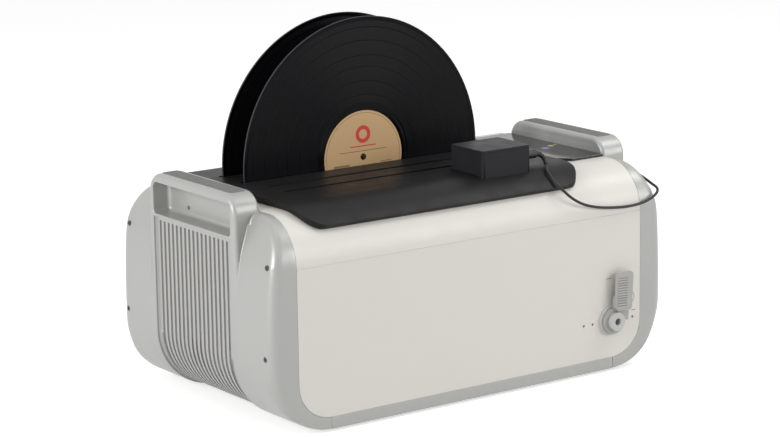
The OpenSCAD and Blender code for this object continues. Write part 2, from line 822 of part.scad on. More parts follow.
module generator_board() color("seagreen") place() {
  block(board_x, board_x + board_t, -board_len / 2, board_len / 2,
    board_mid_z - board_h / 2, board_mid_z + board_h / 2);
  for (sy = [-1, 1], sz = [-1, 1]) {
    rod_x(2.5, wall_x + 1.5, board_x, sy * (board_len / 2 - 8), board_mid_z + sz * (board_h / 2 - 8));
  }
}
module board_parts() color("darkslategray") place() {
  x = board_x + board_t;
  for (i = [0 : 3]) rod_x(9, x, x + 26, -70 + i * 22, board_mid_z - board_h / 2 + 18);
  for (i = [0 : 2]) block(x, x + 16, 20 + i * 22, 36 + i * 22, board_mid_z - board_h / 2 + 10,
    board_mid_z - board_h / 2 + 26);
  for (i = [0 : 1]) difference() {
    rod_x(14, x, x + 13, -55 + i * 50, board_mid_z - 8);
    rod_x(6, x + 3, x + 14, -55 + i * 50, board_mid_z - 8);
  }
  block(x, x + 8, 30, 80, board_mid_z - 20, board_mid_z + 12);
}
module heat_sinks() color("lightgray") place() {
  x = board_x + board_t;
  z = board_mid_z + board_h / 2 - 6;
  for (y = [-78, 12]) {
    block(x, x + 4, y, y + 60, z - 34, z);
    for (i = [0 : 7]) block(x + 4, x + 28, y + i * 8, y + i * 8 + 2.4, z - 34, z);
  }
}
module transformer() color("sienna") place() {
  y = tank_half - 32;
  z = base_top_z;
  block(wall_x + 6, tray_x - 4, y, y + 34, z, z + 24);
  rod_z(9, z + 24, z + 31, (wall_x + tray_x) / 2 + 1, y + 17);
}
module fan_frame() color("dimgray") place() {
  s = fan_side / 2;
  difference() {
    along_x(fan_x, fan_x + fan_t) round_area(-s, s, fan_z - s, fan_z + s, 4);
    rod_x(fan_bore_r, fan_x - over, fan_x + fan_t + over, 0, fan_z);
    for (y = [-s + 4.5, s - 4.5], z = [fan_z - s + 4.5, fan_z + s - 4.5]) {
      rod_x(1.6, fan_x - over, fan_x + fan_t + over, y, z);
    }
  }
  difference() {
    union() {
      rod_x(11, fan_x, fan_x + 2, 0, fan_z);
      for (a = [0, 120, 240]) translate([0, 0, fan_z]) rotate([a, 0, 0]) {
        block(fan_x, fan_x + 2, -2, 2, 0, fan_bore_r + 1);
      }
    }
    rod_x(1.5 + run_gap, fan_x - over, fan_x + 3, 0, fan_z);
  }
}
module fan_rotor() color("black") place() {
  rod_x(1.5, fan_x + 0.3, fan_x + 3, 0, fan_z);
  rod_x(10, fan_x + 2.6, fan_x + fan_t - 1.4, 0, fan_z);
  intersection() {
    for (i = [0 : fan_blades - 1]) translate([0, 0, fan_z]) rotate([i * 360 / fan_blades, 0, 0]) {
      translate([fan_x + fan_t / 2 + 0.6, 0, 9]) rotate([0, 0, 38]) {
        translate([-0.8, -6.8, 0]) cube([1.6, 13.6, fan_bore_r - 8]);
      }
    }
    rod_x(fan_bore_r - 1, fan_x + 2.6, fan_x + fan_t - 1, 0, fan_z);
  }
}

// Rear panel pieces
module mains_inlet() color("black") place() {
  depth = 16;
  difference() {
    union() {
      block(inlet_x - inlet_w / 2, inlet_x + inlet_w / 2, hy - depth - 2, hy,
        rear_z - inlet_h / 2, rear_z + inlet_h / 2);
      along_y(hy, hy + flange_out) round_area(inlet_x - 24, inlet_x + 24,
        rear_z - 13, rear_z + 13, 4);
    }
    block(inlet_x - 12, inlet_x + 12, hy + flange_out - depth, hy + flange_out + over,
      rear_z - 8, rear_z + 8);
    for (s = [-1, 1]) rod_y(1.7, hy - over, hy + flange_out + over, inlet_x + s * 19, rear_z);
  }
  for (p = [[-7, -5], [7, -5], [0, -1]]) {
    block(inlet_x + p[0] - 1, inlet_x + p[0] + 1, hy + flange_out - depth, hy,
      rear_z + p[1], rear_z + p[1] + 4);
  }
}
module rocker_frame() color("black") place() {
  half = rocker_half + 1.3;
  difference() {
    union() {
      block(rocker_x - 6.5, rocker_x + 6.5, hy - 17, hy, rear_z - 9.5, rear_z + 9.5);
      along_y(hy, hy + flange_out) round_area(rocker_x - 8, rocker_x + 8,
        rear_z - 11, rear_z + 11, 1);
    }
    block(rocker_x - 5.2, rocker_x + 5.2, hy - 14, hy + flange_out + over,
      rear_z - half, rear_z + half);
    rod_x(1.2 + run_gap, rocker_x - 6.2, rocker_x + 6.2, rocker_pivot_y, rear_z);
  }
}
module power_rocker() color("firebrick") place() {
  translate([0, rocker_pivot_y, rear_z]) rotate([rocker_tilt, 0, 0]) {
    along_x(rocker_x - 4.9, rocker_x + 4.9) polygon([
      [-3, -rocker_half + 2], [rocker_high, -rocker_half], [rocker_high - 1, 0],
      [rocker_high, rocker_half], [-3, rocker_half - 2]
    ]);
    rod_x(1.2, rocker_x - 6, rocker_x + 6, 0, 0);
  }
}

// Controls
module control_glass() color("black") place() {
  along_z(deck_z, glass_z) polygon([
    [glass_left + glass_cut_x, glass_front], [shell_x, glass_front], [shell_x, glass_rear],
    [glass_left, glass_rear], [glass_left, glass_front + glass_cut_y]
  ]);
}
module display_board() color("seagreen") place() {
  z = deck_z - wall_t - 3 - board_t;
  block(window[0] - 6, window[1] + 3, -window_half - 8, window_half + 8, z, z + board_t);
  for (x = [window[0] - 3.3, window[1]], y = [-window_half - 5, window_half + 5]) {
    rod_z(2, z + board_t, deck_z - wall_t, x, y);
  }
  for (y = [-30, 0, 30]) {
    block(window[0] + 6, window[1] - 6, y - 12, y + 12, z + board_t, deck_z - 0.4);
  }
}

// Lid and what rides on it
module lid_outline(r, z) {
  intersection() {
    union() {
      area(-shoulder_y, shoulder_y, seam_z, z);
      for (s = [-1, 1]) translate([s * shoulder_y, seam_z]) circle(r = r);
    }
    union() {
      area(-shoulder_y, shoulder_y, seam_z, z + over);
      for (s = [-1, 1]) translate([s * shoulder_y, seam_z]) scale([s, 1]) polygon([
        [-over, 0], [0, 0], [80 * sin(lid_wrap), 80 * cos(lid_wrap)], [60, 100], [-over, 100]
      ]);
    }
  }
}
module slot_cut(y, left, right) {
  along_z(deck_z - over, lid_top_z + over) {
    round_area(left, right, y - slot_w / 2, y + slot_w / 2, slot_w / 2 - 0.1);
  }
}
module lid_cover() color("dimgray") place() {
  difference() {
    intersection() {
      along_x(lid_left, lid_right) difference() {
        lid_outline(lid_top_r, lid_top_z);
        lid_outline(lid_low_r, lid_low_z);
        area(-shoulder_y, shoulder_y, seam_z - over, lid_low_z);
      }
      along_z(seam_z, lid_top_z + over) {
        round_area(lid_left, lid_right, -lid_half, lid_half, lid_corner_r);
      }
    }
    for (i = [0, 1]) {
      slot_cut(slot_ys[i], slot_short_left, slot_short_left + slot_short_len);
      slot_cut(slot_ys[i + 2], rec_x - slot_long_half, rec_x + slot_long_half);
    }
    block(box_mid_x - pulley_r - 4, box_right - box_wall - 2, belt_y - belt_w / 2 - 1.2,
      belt_y + belt_w / 2 + 1.2, deck_z - over, lid_top_z + over);
  }
}
module box_area(inset) {
  round_area(box_left + inset, box_right - inset, box_front + inset, box_rear - inset,
    box_edge_r - min(inset, box_edge_r - 0.4));
}
module motor_box() color("dimgray") place() {
  difference() {
    along_z(deck_z, cover_z) box_area(0);
    along_z(deck_z - over, cover_z + over) box_area(box_wall);
    along_x(box_left - over, box_right + over) lid_outline(lid_top_r, lid_top_z);
    rod_x(jack_r - 1.5, box_right - box_wall - over, box_right + over, jack_y, jack_z);
  }
}
module motor_box_cover() color("dimgray") place() {
  along_z(cover_z, box_top_z) box_area(0);
  along_z(cover_z - 1.2, cover_z) box_area(box_wall + 0.1);
}
module gearmotor() color("lightgray") place() {
  y = belt_y + belt_w / 2;
  difference() {
    union() {
      rod_y(motor_r, box_front + box_wall + 0.5, belt_y - 10, box_mid_x, motor_z);
      block(box_mid_x - gear_side / 2, box_mid_x + gear_side / 2, belt_y - 10,
        belt_y - belt_w / 2 - 1, lid_top_z, lid_top_z + gear_side - 1.4);
    }
    rod_y(1.5 + run_gap, belt_y - 9, y, box_mid_x, motor_z);
  }
}
module motor_pulley() color("gold") place() {
  rod_y(pulley_r, belt_y - belt_w / 2, belt_y + belt_w / 2, box_mid_x, motor_z);
  rod_y(1.5, belt_y - 8, belt_y + belt_w / 2 + 1, box_mid_x, motor_z);
}
module belt_outline(r) {
  circle(r = r);
  area(0, belt_length, -r, r);
  translate([belt_length, 0]) circle(r = r);
}
module drive_belt() color("black") place() {
  along_y(belt_y - belt_w / 2, belt_y + belt_w / 2) {
    translate([box_mid_x, motor_z]) rotate(belt_angle) difference() {
      belt_outline(pulley_r + belt_len_gap + belt_t);
      belt_outline(pulley_r + belt_len_gap);
    }
  }
}
module roller_hangers() color("slategray") place() {
  for (x = [drive_x, idle_x], y = [hanger_front_y, hanger_rear_y]) {
    difference() {
      union() {
        along_y(y, y + hanger_t) {
          area(x - hanger_r, x + hanger_r, roller_z, lid_low_z);
          translate([x, roller_z]) circle(r = hanger_r);
        }
        block(x - hanger_r, x + hanger_r, y, y + hanger_t + 5, lid_low_z - 2, lid_low_z);
      }
      rod_y(bush_r, y - over, y + hanger_t + over, x, roller_z);
    }
  }
}
module shaft_bushes() color("gold") place() {
  for (x = [drive_x, idle_x], y = [hanger_front_y, hanger_rear_y]) difference() {
    rod_y(bush_r, y, y + hanger_t, x, roller_z);
    rod_y(shaft_r + run_gap, y - over, y + hanger_t + over, x, roller_z);
  }
}
module roller_tyres(x) {
  for (y = slot_ys) difference() {
    rod_y(tyre_r, y - tyre_w / 2, y + tyre_w / 2, x, roller_z);
    rod_y(shaft_r, y - tyre_w, y + tyre_w, x, roller_z);
  }
}
module drive_shaft() color("silver") place() {
  rod_y(shaft_r, belt_y - belt_w / 2 - 1, hanger_rear_y + hanger_t + 2, drive_x, roller_z);
}
module drive_pulley() color("gold") place() {
  difference() {
    rod_y(pulley_r, belt_y - belt_w / 2, belt_y + belt_w / 2, drive_x, roller_z);
    rod_y(shaft_r, belt_y - belt_w, belt_y + belt_w, drive_x, roller_z);
  }
}
module drive_tyres() color("black") place() roller_tyres(drive_x);
module idle_shaft() color("silver") place() {
  rod_y(shaft_r, hanger_front_y - 2, hanger_rear_y + hanger_t + 2, idle_x, roller_z);
}
module idle_tyres() color("black") place() roller_tyres(idle_x);

// Low-voltage lead
module dc_jack() color("black") place() {
  difference() {
    union() {
      rod_x(jack_r - 1.5, box_right - 12, box_right, jack_y, jack_z);
      rod_x(jack_r, box_right, plug_x, jack_y, jack_z);
    }
    rod_x(2.8, box_right - 10, plug_x + over, jack_y, jack_z);
  }
}
module dc_plug() color("black") place() {
  rod_x(plug_r, plug_x, relief_route[0][0], jack_y, jack_z);
  rod_x(2.75, box_right - 9, plug_x, jack_y, jack_z);
}
module dc_strain_relief() color("black") place() {
  path = smooth_route(relief_route, 3);
  n = len(path);
  radii = [for (i = [0 : n - 1]) 3.4 - (3.4 - lead_r - 0.5) * i / (n - 1)];
  tube(path, radii, [1, 0, 0], unit([-4, -6, -2.5]), 12);
}
module dc_lead() color("black") place() {
  path = concat(smooth_route(lead_route, 2), [coil_entry]);
  radii = [for (p = path) lead_r];
  tube(path, radii, unit([-4, -6, -2.5]), [-1, 0, 0], lead_sides);
}
function coil_point(turn) =
  let (r = coil_inner_r + coil_pitch * abs(turn), a = -90 - 360 * (turn + coil_turns / 2),
    climb = min(max(turn * 2 + 0.5, 0), 1))
  [coil_mid[0] + r * cos(a), coil_mid[1] + r * sin(a), coil_entry[2] + coil_pitch * climb];
coil_path = concat(
  [coil_entry],
  [for (i = [0 : coil_turns * coil_step]) coil_point(i / coil_step - coil_turns / 2)],
  [[coil_mid[0] - coil_tail, coil_entry[1], coil_top_z]]
);
coil_gap = min([
  for (i = [0 : len(coil_path) - 13], k = [i + 12 : len(coil_path) - 1])
    norm(coil_path[i] - coil_path[k])
]) - lead_d;
function path_length(p) = len(p) < 2 ? 0 : sum_steps(p, len(p) - 1);
function sum_steps(p, i) = i == 0 ? 0 : norm(p[i] - p[i - 1]) + sum_steps(p, i - 1);
echo(coil_gap = coil_gap);
echo(lead_mm = path_length(relief_route) + path_length(lead_route) + path_length(coil_path));
module dc_lead_coil() color("black") place() {
  radii = [for (p = coil_path) lead_r];
  tube(coil_path, radii, [-1, 0, 0], [-1, 0, 0], coil_sides);
}
module adapter_relief() color("black") place() {
  x = coil_mid[0] - coil_tail;
  translate([x, coil_entry[1], coil_top_z]) rotate([0, -90, 0]) rotate_extrude() polygon([
    [0, 0], [lead_r + 0.6, 0], [3.4, adapter_relief_len], [0, adapter_relief_len]
  ]);
}
module wall_adapter() color("black") place() {
  y = coil_entry[1];
  along_z(lead_r / 10, lead_r / 10 + adapter_h) {
    round_area(adapter_x - adapter_len, adapter_x, y - adapter_w / 2, y + adapter_w / 2, 4);
  }
}
module adapter_blades() color("gold") place() {
  x = adapter_x - adapter_len / 2;
  for (s = [-1, 1]) {
    block(x - 3.2, x + 3.2, coil_entry[1] + s * 6.35 - 0.75, coil_entry[1] + s * 6.35 + 0.75,
      lead_r / 10 + adapter_h, lead_r / 10 + adapter_h + 16);
  }
}

// Records
module record(y) {
  half = rec_t / 2;
  translate([rec_x, y, rec_z]) rotate([90, 0, 0]) rotate_extrude() polygon([
    [spindle_d / 2, -half], [label_d / 2 + 4, -half], [label_d / 2 + 7, -half + 0.3],
    [rec_r - 5, -half + 0.3], [rec_r - 3, -half], [rec_r - 0.4, -half], [rec_r, 0],
    [rec_r - 0.4, half], [rec_r - 3, half], [rec_r - 5, half - 0.3],
    [label_d / 2 + 7, half - 0.3], [label_d / 2 + 4, half], [spindle_d / 2, half]
  ]);
}
module record_label(y) {
  for (s = [-1, 1]) difference() {
    rod_y(label_d / 2, y + s * (rec_t + label_t) / 2 - label_t / 2,
      y + s * (rec_t + label_t) / 2 + label_t / 2, rec_x, rec_z);
    rod_y(spindle_d / 2, y - rec_t, y + rec_t, rec_x, rec_z);
  }
}
module record_front() color("black") place() record(rec_y);
module record_front_label() color("tan") place() record_label(rec_y);
module record_rear() color("black") place() record(rec_rear_y);
module record_rear_label() color("tan") place() record_label(rec_rear_y);

top_cover();
front_panel();
rear_panel();
bottom_tray();
feet();
left_end_cap();
right_end_cap();
left_handle_grip();
right_handle_grip();
grip_patches();
cap_screws();
chassis_frame();
tank();
tank_gasket();
transducers();
heater_pad();
drain_pipe();
valve_body();
valve_bezel();
drain_nozzle();
valve_core();
valve_lever();
generator_board();
board_parts();
heat_sinks();
transformer();
fan_frame();
fan_rotor();
mains_inlet();
rocker_frame();
power_rocker();
control_glass();
display_board();
lid_cover();
motor_box();
motor_box_cover();
gearmotor();
motor_pulley();
drive_belt();
roller_hangers();
shaft_bushes();
drive_shaft();
drive_pulley();
drive_tyres();
idle_shaft();
idle_tyres();
dc_jack();
dc_plug();
dc_strain_relief();
dc_lead();
dc_lead_coil();
adapter_relief();
wall_adapter();
adapter_blades();
record_front();
record_front_label();
record_rear();
record_rear_label();
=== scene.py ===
import json
import math

import bmesh
import bpy
import numpy
from mathutils import Matrix, Vector


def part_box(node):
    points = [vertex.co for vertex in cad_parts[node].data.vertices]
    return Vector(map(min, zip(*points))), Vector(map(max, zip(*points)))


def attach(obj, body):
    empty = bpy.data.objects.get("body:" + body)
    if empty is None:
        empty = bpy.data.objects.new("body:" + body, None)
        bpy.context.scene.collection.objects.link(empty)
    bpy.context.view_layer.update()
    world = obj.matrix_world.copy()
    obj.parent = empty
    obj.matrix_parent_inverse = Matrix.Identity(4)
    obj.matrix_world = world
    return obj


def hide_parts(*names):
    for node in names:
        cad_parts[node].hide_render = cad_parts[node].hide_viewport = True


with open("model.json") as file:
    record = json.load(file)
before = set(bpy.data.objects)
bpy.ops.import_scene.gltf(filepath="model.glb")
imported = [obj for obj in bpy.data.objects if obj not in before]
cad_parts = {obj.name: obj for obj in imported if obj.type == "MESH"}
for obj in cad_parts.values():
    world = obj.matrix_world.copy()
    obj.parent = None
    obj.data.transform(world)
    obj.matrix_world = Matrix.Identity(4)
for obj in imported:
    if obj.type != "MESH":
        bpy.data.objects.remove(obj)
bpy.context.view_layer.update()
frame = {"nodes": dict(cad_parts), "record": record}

# Sizes and places are in metres, in the frame of the model. SHIFT_Y is the middle of the shell in y.
SHIFT_Y = 0.004
HALF_LENGTH = 0.253
HALF_DEPTH = 0.1455
SHELL_HALF = 0.221
SEAM_HEIGHT = 0.172
SEAM_GAP = 0.00032
SHOULDER = 0.0495
SHOULDER_Y = 0.096
TRAY_HALF = 0.183
LID_CORNER = 0.026
RECORD_X = -0.026
RECORD_Z = 0.237
RECORD_YS = (0.023, 0.0643)
VALVE = Vector((0.1805, -0.1415, 0.0572))

# Hand pockets, vent fields and handle blocks of the end caps
POCKET_LOW = 0.1978
POCKET_BACK = 0.2324
POCKET_HALF = 0.0745
POCKET_ROUND = 0.0075
BAR_LOW = 0.2315
FIELD_TOP = 0.1948
GRIP_HALF = 0.0827
GRIP_TOP = 0.2405
GRIP_CORNER = 0.021
GRIP_FOOT = 0.06
HANDLE_ROUND = 0.0045

# The caps' outer edge: its rounding, how small that gets at the foot, and what it loses at the ear
CAP_CORNER = 0.07
CAP_FOOT = 0.003
CAP_ROUND = 0.0106
FOOT_ROUND = 0.0012
EAR_LOSS = 0.0021
FOOT_FADE_FROM = 0.004
EAR_FADE_FROM = 0.13
FADE_HEIGHT = 0.05

# Small distances: how far forms stay inside the faces of a solid, and how near counts as touching
SKIN = 0.00004
SLACK = 0.0003
OVERLAP = 0.0002
MARGIN = 0.001

# The camera stands where the rims of both records and the shell's edges fit the photo
CAMERA_YAW = 35.28
CAMERA_PITCH = 12.28
CAMERA_ROLL = -0.9
CAMERA_PLACE = (-1.6208, -2.2836 + SHIFT_Y, 0.7781)
CAMERA_LENS = 123.57
CAMERA_SENSOR = 36
CAMERA_RANGE = 30

# Name, place, aim, size and power of each lamp
LAMPS = (
    ("overhead softbox", (0.1, -0.2, 2.2), (0, 0, 0.15), (2.0, 1.4), 5.5),
    ("front softbox", (1.55, -2.15, 0.95), (0, 0, 0.1), (1.3, 1.0), 21),
    ("left softbox", (-2.5, -0.3, 1.0), (0, 0, 0.1), (1.4, 1.2), 46),
    ("right softbox", (1.05, -0.5, 1.45), (0.15, -0.1, 0.2), (0.6, 0.6), 7),
)
ROOM_LIGHT = 0.5
ROOM_SEEN = 1
FLOOR_HALF = 9
FLOOR_GREY = 0.7
FLOOR_GLOW = 0.58

# Marks printed by the valve: two ticks (sides, low, high), and an arc with an arrow head
TICKS = ((0.1742, 0.1812, 0.1026, 0.1035), (0.2088, 0.2148, 0.0630, 0.0639))
ARC_X = 0.2052
ARC_Z = 0.0785
ARC_RADIUS = 0.0075
ARC_HALF_LINE = 0.0004
ARC_FROM = 0.0045
ARROW_X = 0.2100
ARROW_Z = 0.0713
ARROW_SLOPE = 0.6
ARROW_LENGTH = 0.0022
MARKED_SIDE = -0.1
MARK_STRENGTH = 0.8

# Grooves across the lever's plate, painted as darker lines of shade, counted from the valve's axis along the
# plate
LEVER_LEAN = math.radians(3.0)
FIRST_RIB = 0.01565
RIB_PITCH = 0.00275
RIB_COUNT = 12
RIB_SIDES = (-0.0008, 0.0121)

# Painted reflections: soft coloured glows in the control glass, with x, y, size and colour
REFLECTION_GLOWS = [
    (0.1935, -0.0135, 0.0062, (0.42, 0.30, 0.95)),
    (0.2068, -0.0065, 0.0045, (0.85, 0.75, 0.42)),
    (0.2155, -0.0030, 0.0030, (0.55, 0.55, 0.6)),
]
REFLECTION_GLOWS += [(x, y, 0.0022, (0.10, 0.12, 0.14)) for x in (0.1905, 0.2045) for y in (-0.052, -0.0655)]

# A record's face, by radius, with its bands of tone and fine grooves as waves over the radius
BAND_SCALE = 420
GROOVE_WAVES = 9000.0
GROOVES_FROM = 0.0585
GROOVES_TO = 0.1462
TRACK_GAPS = (0.0668, 0.0815, 0.0968, 0.1092, 0.1247, 0.1388)
GAP_HALF = 0.0006
# From this radius out, the record's rim carries a painted highlight
RIM_HIGHLIGHT_FROM = 0.1498

# A label's print, from the record's middle: a red ring over a red bar, and plain rules
RING_HIGH = 0.0245
RING_OUTER = 0.0095
RING_INNER = 0.0052
RED_BAR = (-0.0165, 0.0165, 0.0112, 0.0124)
RULES = (
    (-0.03, 0.03, 0.0062, 0.0070), (-0.038, -0.018, -0.0085, -0.0065),
    (-0.026, 0.026, -0.0160, -0.0152), (-0.024, 0.024, -0.0190, -0.0182),
    (-0.021, 0.021, -0.0220, -0.0212), (-0.018, 0.018, -0.0250, -0.0242),
    (0.022, 0.036, -0.0078, -0.0070), (-0.012, 0.012, -0.0330, -0.0320),
)
LABEL_LINE = 0.0475
LABEL_LINE_HALF = 0.00025
LABEL_PRESS = 0.036
LABEL_PRESS_HALF = 0.0005

# The lead's route is the one of the model's source
RELIEF_ROUTE = [
    (0.113, -0.096, 0.2405), (0.117, -0.097, 0.24), (0.1205, -0.099, 0.2375),
    (0.1215, -0.1025, 0.2335), (0.1195, -0.107, 0.23),
]
LEAD_ROUTE = [
    (0.1195, -0.107, 0.23), (0.1155, -0.1125, 0.2275), (0.112, -0.119, 0.2245),
    (0.111, -0.127, 0.2195), (0.1125, -0.1345, 0.2135), (0.117, -0.141, 0.206),
    (0.126, -0.1445, 0.1975), (0.141, -0.145, 0.1895), (0.16, -0.1445, 0.184),
    (0.18, -0.1445, 0.181), (0.2, -0.1445, 0.1795), (0.219, -0.145, 0.1805),
    (0.233, -0.145, 0.184), (0.243, -0.143, 0.1885), (0.249, -0.1365, 0.192),
    (0.2515, -0.124, 0.195), (0.2535, -0.108, 0.199), (0.2555, -0.091, 0.202),
    (0.2556, -0.072, 0.2029), (0.251, -0.061, 0.201), (0.245, -0.044, 0.1998),
    (0.243, -0.021, 0.1997), (0.243, 0.004, 0.1997), (0.243, 0.029, 0.1997),
    (0.245, 0.05, 0.1998), (0.2505, 0.0665, 0.201), (0.2556, 0.079, 0.2029),
    (0.258, 0.094, 0.2025), (0.26, 0.109, 0.195), (0.261, 0.124, 0.178),
    (0.26, 0.138, 0.15), (0.257, 0.15, 0.112), (0.252, 0.16, 0.072),
    (0.246, 0.169, 0.038), (0.239, 0.177, 0.016), (0.229, 0.185, 0.005),
    (0.218, 0.192, 0.0022), (0.206, 0.196, 0.0017), (0.194, 0.1975, 0.0016),
]
COIL_ENTRY = (0.183, 0.1975, 0.0016)
COIL_PITCH = 0.0035
COIL_TURNS = 5
COIL_INNER = 0.0126
COIL_TAIL = 0.012
LEAD_WIDTH = 0.003
RELIEF_RADIUS = 0.0034
RELIEF_TAPER = 0.0014
RELIEF_NOTCH = 0.00045
LEAD_STEPS = 8
COIL_STEPS = 36
RELIEF_STEPS = 6
LEAD_SIDES = 10
RELIEF_SIDES = 20

# Grain of smooth mouldings, and the angles in degrees above which edges are rounded or stay sharp
FINE_GRAIN = 0.00002
FINE_SCALE = 1500
ROUNDED_FROM = 25
SHARP_FROM = 38
WELD = 1e-6
FLAT_WITHIN = 0.5


# Objects and meshes

def placed(name, data):
    item = bpy.data.objects.new(name, data)
    bpy.context.collection.objects.link(item)
    return item


def mesh_of(name, shape):
    mesh = bpy.data.meshes.new(name)
    shape.to_mesh(mesh)
    shape.free()
    return mesh


def smoothed(name, shape, angle):
    mesh = mesh_of(name, shape)
    mesh.shade_smooth()
    mesh.set_sharp_from_angle(angle=math.radians(angle))
    return mesh


def applied(item, *tools):
    graph = bpy.context.evaluated_depsgraph_get()
    mesh = bpy.data.meshes.new_from_object(item.evaluated_get(graph))
    for thing in (item, *tools):
        bpy.data.objects.remove(thing)
    return mesh


def join_in(shape, mesh):
    shape.from_mesh(mesh)
    bpy.data.meshes.remove(mesh)


# Camera and studio

def make_camera():
    yaw = math.radians(CAMERA_YAW)
    pitch = math.radians(CAMERA_PITCH)
    roll = math.radians(CAMERA_ROLL)
    ahead = Vector((math.sin(yaw) * math.cos(pitch), math.cos(yaw) * math.cos(pitch), -math.sin(pitch)))
    level = Vector((math.cos(yaw), -math.sin(yaw), 0))
    above = level.cross(ahead)
    right = math.cos(roll) * level + math.sin(roll) * above
    up = -math.sin(roll) * level + math.cos(roll) * above
    camera = placed("camera", bpy.data.cameras.new("camera"))
    turn = Matrix((right, up, -ahead)).transposed().to_4x4()
    camera.matrix_world = Matrix.Translation(CAMERA_PLACE) @ turn
    camera.data.lens = CAMERA_LENS
    camera.data.sensor_width = CAMERA_SENSOR
    camera.data.clip_end = CAMERA_RANGE
    bpy.context.scene.camera = camera


def add_lamp(name, place, aim, size, power):
    lamp = placed(name, bpy.data.lights.new(name, "AREA"))
    lamp.data.shape = "RECTANGLE"
    lamp.data.size = size[0]
    lamp.data.size_y = size[1]
    lamp.data.energy = power
    lamp.location = place
    lamp.rotation_mode = "QUATERNION"
    lamp.rotation_quaternion = (Vector(aim) - Vector(place)).to_track_quat("-Z", "Y")


def seen_by(tree, *rays):
    path = tree.nodes.new("ShaderNodeLightPath")
    seen = 0.0
    for ray in rays:
        seen = calc(tree, "MAXIMUM", path.outputs[ray], seen)
    return seen


# The room lights the machine dimly, and shows white to the camera and in reflections
def make_room():
    world = bpy.data.worlds.new("studio")
    bpy.context.scene.world = world
    world.use_nodes = True
    tree = world.node_tree
    tree.nodes.clear()
    mix = tree.nodes.new("ShaderNodeMixShader")
    out = tree.nodes.new("ShaderNodeOutputWorld")
    seen = seen_by(tree, "Is Camera Ray", "Is Glossy Ray", "Is Transmission Ray")
    tree.links.new(seen, mix.inputs[0])
    for strength, socket in ((ROOM_LIGHT, mix.inputs[1]), (ROOM_SEEN, mix.inputs[2])):
        plain = node_with(tree, "ShaderNodeBackground", {"Color": (1, 1, 1, 1), "Strength": strength})
        tree.links.new(plain.outputs[0], socket)
    tree.links.new(mix.outputs[0], out.inputs["Surface"])
    bpy.context.scene.view_settings.view_transform = "Standard"


# The floor's paper glows only where it is seen, so that it stays white and lights nothing
def make_floor():
    mesh = bpy.data.meshes.new("floor")
    half = FLOOR_HALF
    corners = [(-half, -half, 0), (half, -half, 0), (half, half, 0), (-half, half, 0)]
    mesh.from_pydata(corners, [], [(0, 1, 2, 3)])
    floor = placed("floor", mesh)
    paper = bpy.data.materials.new("studio paper")
    paper.use_nodes = True
    tree = paper.node_tree
    tree.nodes.clear()
    matt = node_with(tree, "ShaderNodeBsdfDiffuse", {"Color": (FLOOR_GREY, FLOOR_GREY, FLOOR_GREY, 1)})
    lift = node_with(tree, "ShaderNodeEmission", {"Strength": FLOOR_GLOW})
    both = tree.nodes.new("ShaderNodeAddShader")
    mix = tree.nodes.new("ShaderNodeMixShader")
    out = tree.nodes.new("ShaderNodeOutputMaterial")
    tree.links.new(seen_by(tree, "Is Camera Ray", "Is Glossy Ray"), mix.inputs[0])
    tree.links.new(matt.outputs[0], both.inputs[0])
    tree.links.new(lift.outputs[0], both.inputs[1])
    tree.links.new(matt.outputs[0], mix.inputs[1])
    tree.links.new(both.outputs[0], mix.inputs[2])
    tree.links.new(mix.outputs[0], out.inputs["Surface"])
    mesh.materials.append(paper)


# Node helpers

def feed(tree, value, socket):
    if isinstance(value, bpy.types.NodeSocket):
        tree.links.new(value, socket)
    else:
        socket.default_value = value


def node_with(tree, kind, inputs):
    node = tree.nodes.new(kind)
    for name, value in inputs.items():
        feed(tree, value, node.inputs[name])
    return node


def calc(tree, operation, first, second=0.0, clamp=False):
    node = tree.nodes.new("ShaderNodeMath")
    node.operation = operation
    node.use_clamp = clamp
    feed(tree, first, node.inputs[0])
    feed(tree, second, node.inputs[1])
    return node.outputs[0]


def remap(tree, value, low, high, to_low, to_high):
    node = node_with(tree, "ShaderNodeMapRange", {
        "Value": value, "From Min": low, "From Max": high, "To Min": to_low, "To Max": to_high})
    return node.outputs["Result"]


def place_of(tree, stretch=(1, 1, 1), move=(0, 0, 0)):
    coords = tree.nodes.new("ShaderNodeTexCoord")
    mapping = node_with(tree, "ShaderNodeMapping", {
        "Scale": stretch, "Location": move, "Vector": coords.outputs["Object"]})
    return mapping.outputs["Vector"]


def axes_of(tree, vector):
    split = node_with(tree, "ShaderNodeSeparateXYZ", {"Vector": vector})
    return split.outputs


def distance(tree, across, high):
    squares = [calc(tree, "POWER", value, 2.0) for value in (across, high)]
    return calc(tree, "SQRT", calc(tree, "ADD", *squares))


def within(tree, value, middle, reach):
    off = calc(tree, "ABSOLUTE", calc(tree, "SUBTRACT", value, middle))
    return calc(tree, "LESS_THAN", off, reach)


def bar_mask(tree, across, high, x0, x1, z0, z1):
    inside = 1.0
    for value, low, top in ((across, x0, x1), (high, z0, z1)):
        inside = calc(tree, "MULTIPLY", calc(tree, "GREATER_THAN", value, low), inside)
        inside = calc(tree, "MULTIPLY", calc(tree, "LESS_THAN", value, top), inside)
    return inside


def noise(tree, vector, scale, detail=3.0, roughness=0.5):
    node = node_with(tree, "ShaderNodeTexNoise", {
        "Scale": scale, "Detail": detail, "Roughness": roughness, "Vector": vector})
    return node.outputs["Fac"]


def blend_colours(tree, amount, first, second):
    node = tree.nodes.new("ShaderNodeMix")
    node.data_type = "RGBA"
    feed(tree, amount, node.inputs[0])
    for socket, colour in ((node.inputs[6], first), (node.inputs[7], second)):
        feed(tree, (*colour, 1) if isinstance(colour, tuple) else colour, socket)
    return node.outputs[2]


def bump(tree, height, depth):
    node = node_with(tree, "ShaderNodeBump", {"Distance": depth, "Height": height})
    return node.outputs["Normal"]


def new_finish(name):
    material = bpy.data.materials.new(name)
    material.use_nodes = True
    tree = material.node_tree
    return material, tree, tree.nodes["Principled BSDF"]


def opened(material):
    tree = material.node_tree
    shader = tree.nodes["Principled BSDF"]
    return tree, shader, shader.inputs["Base Color"].links[0].from_socket


# Finishes

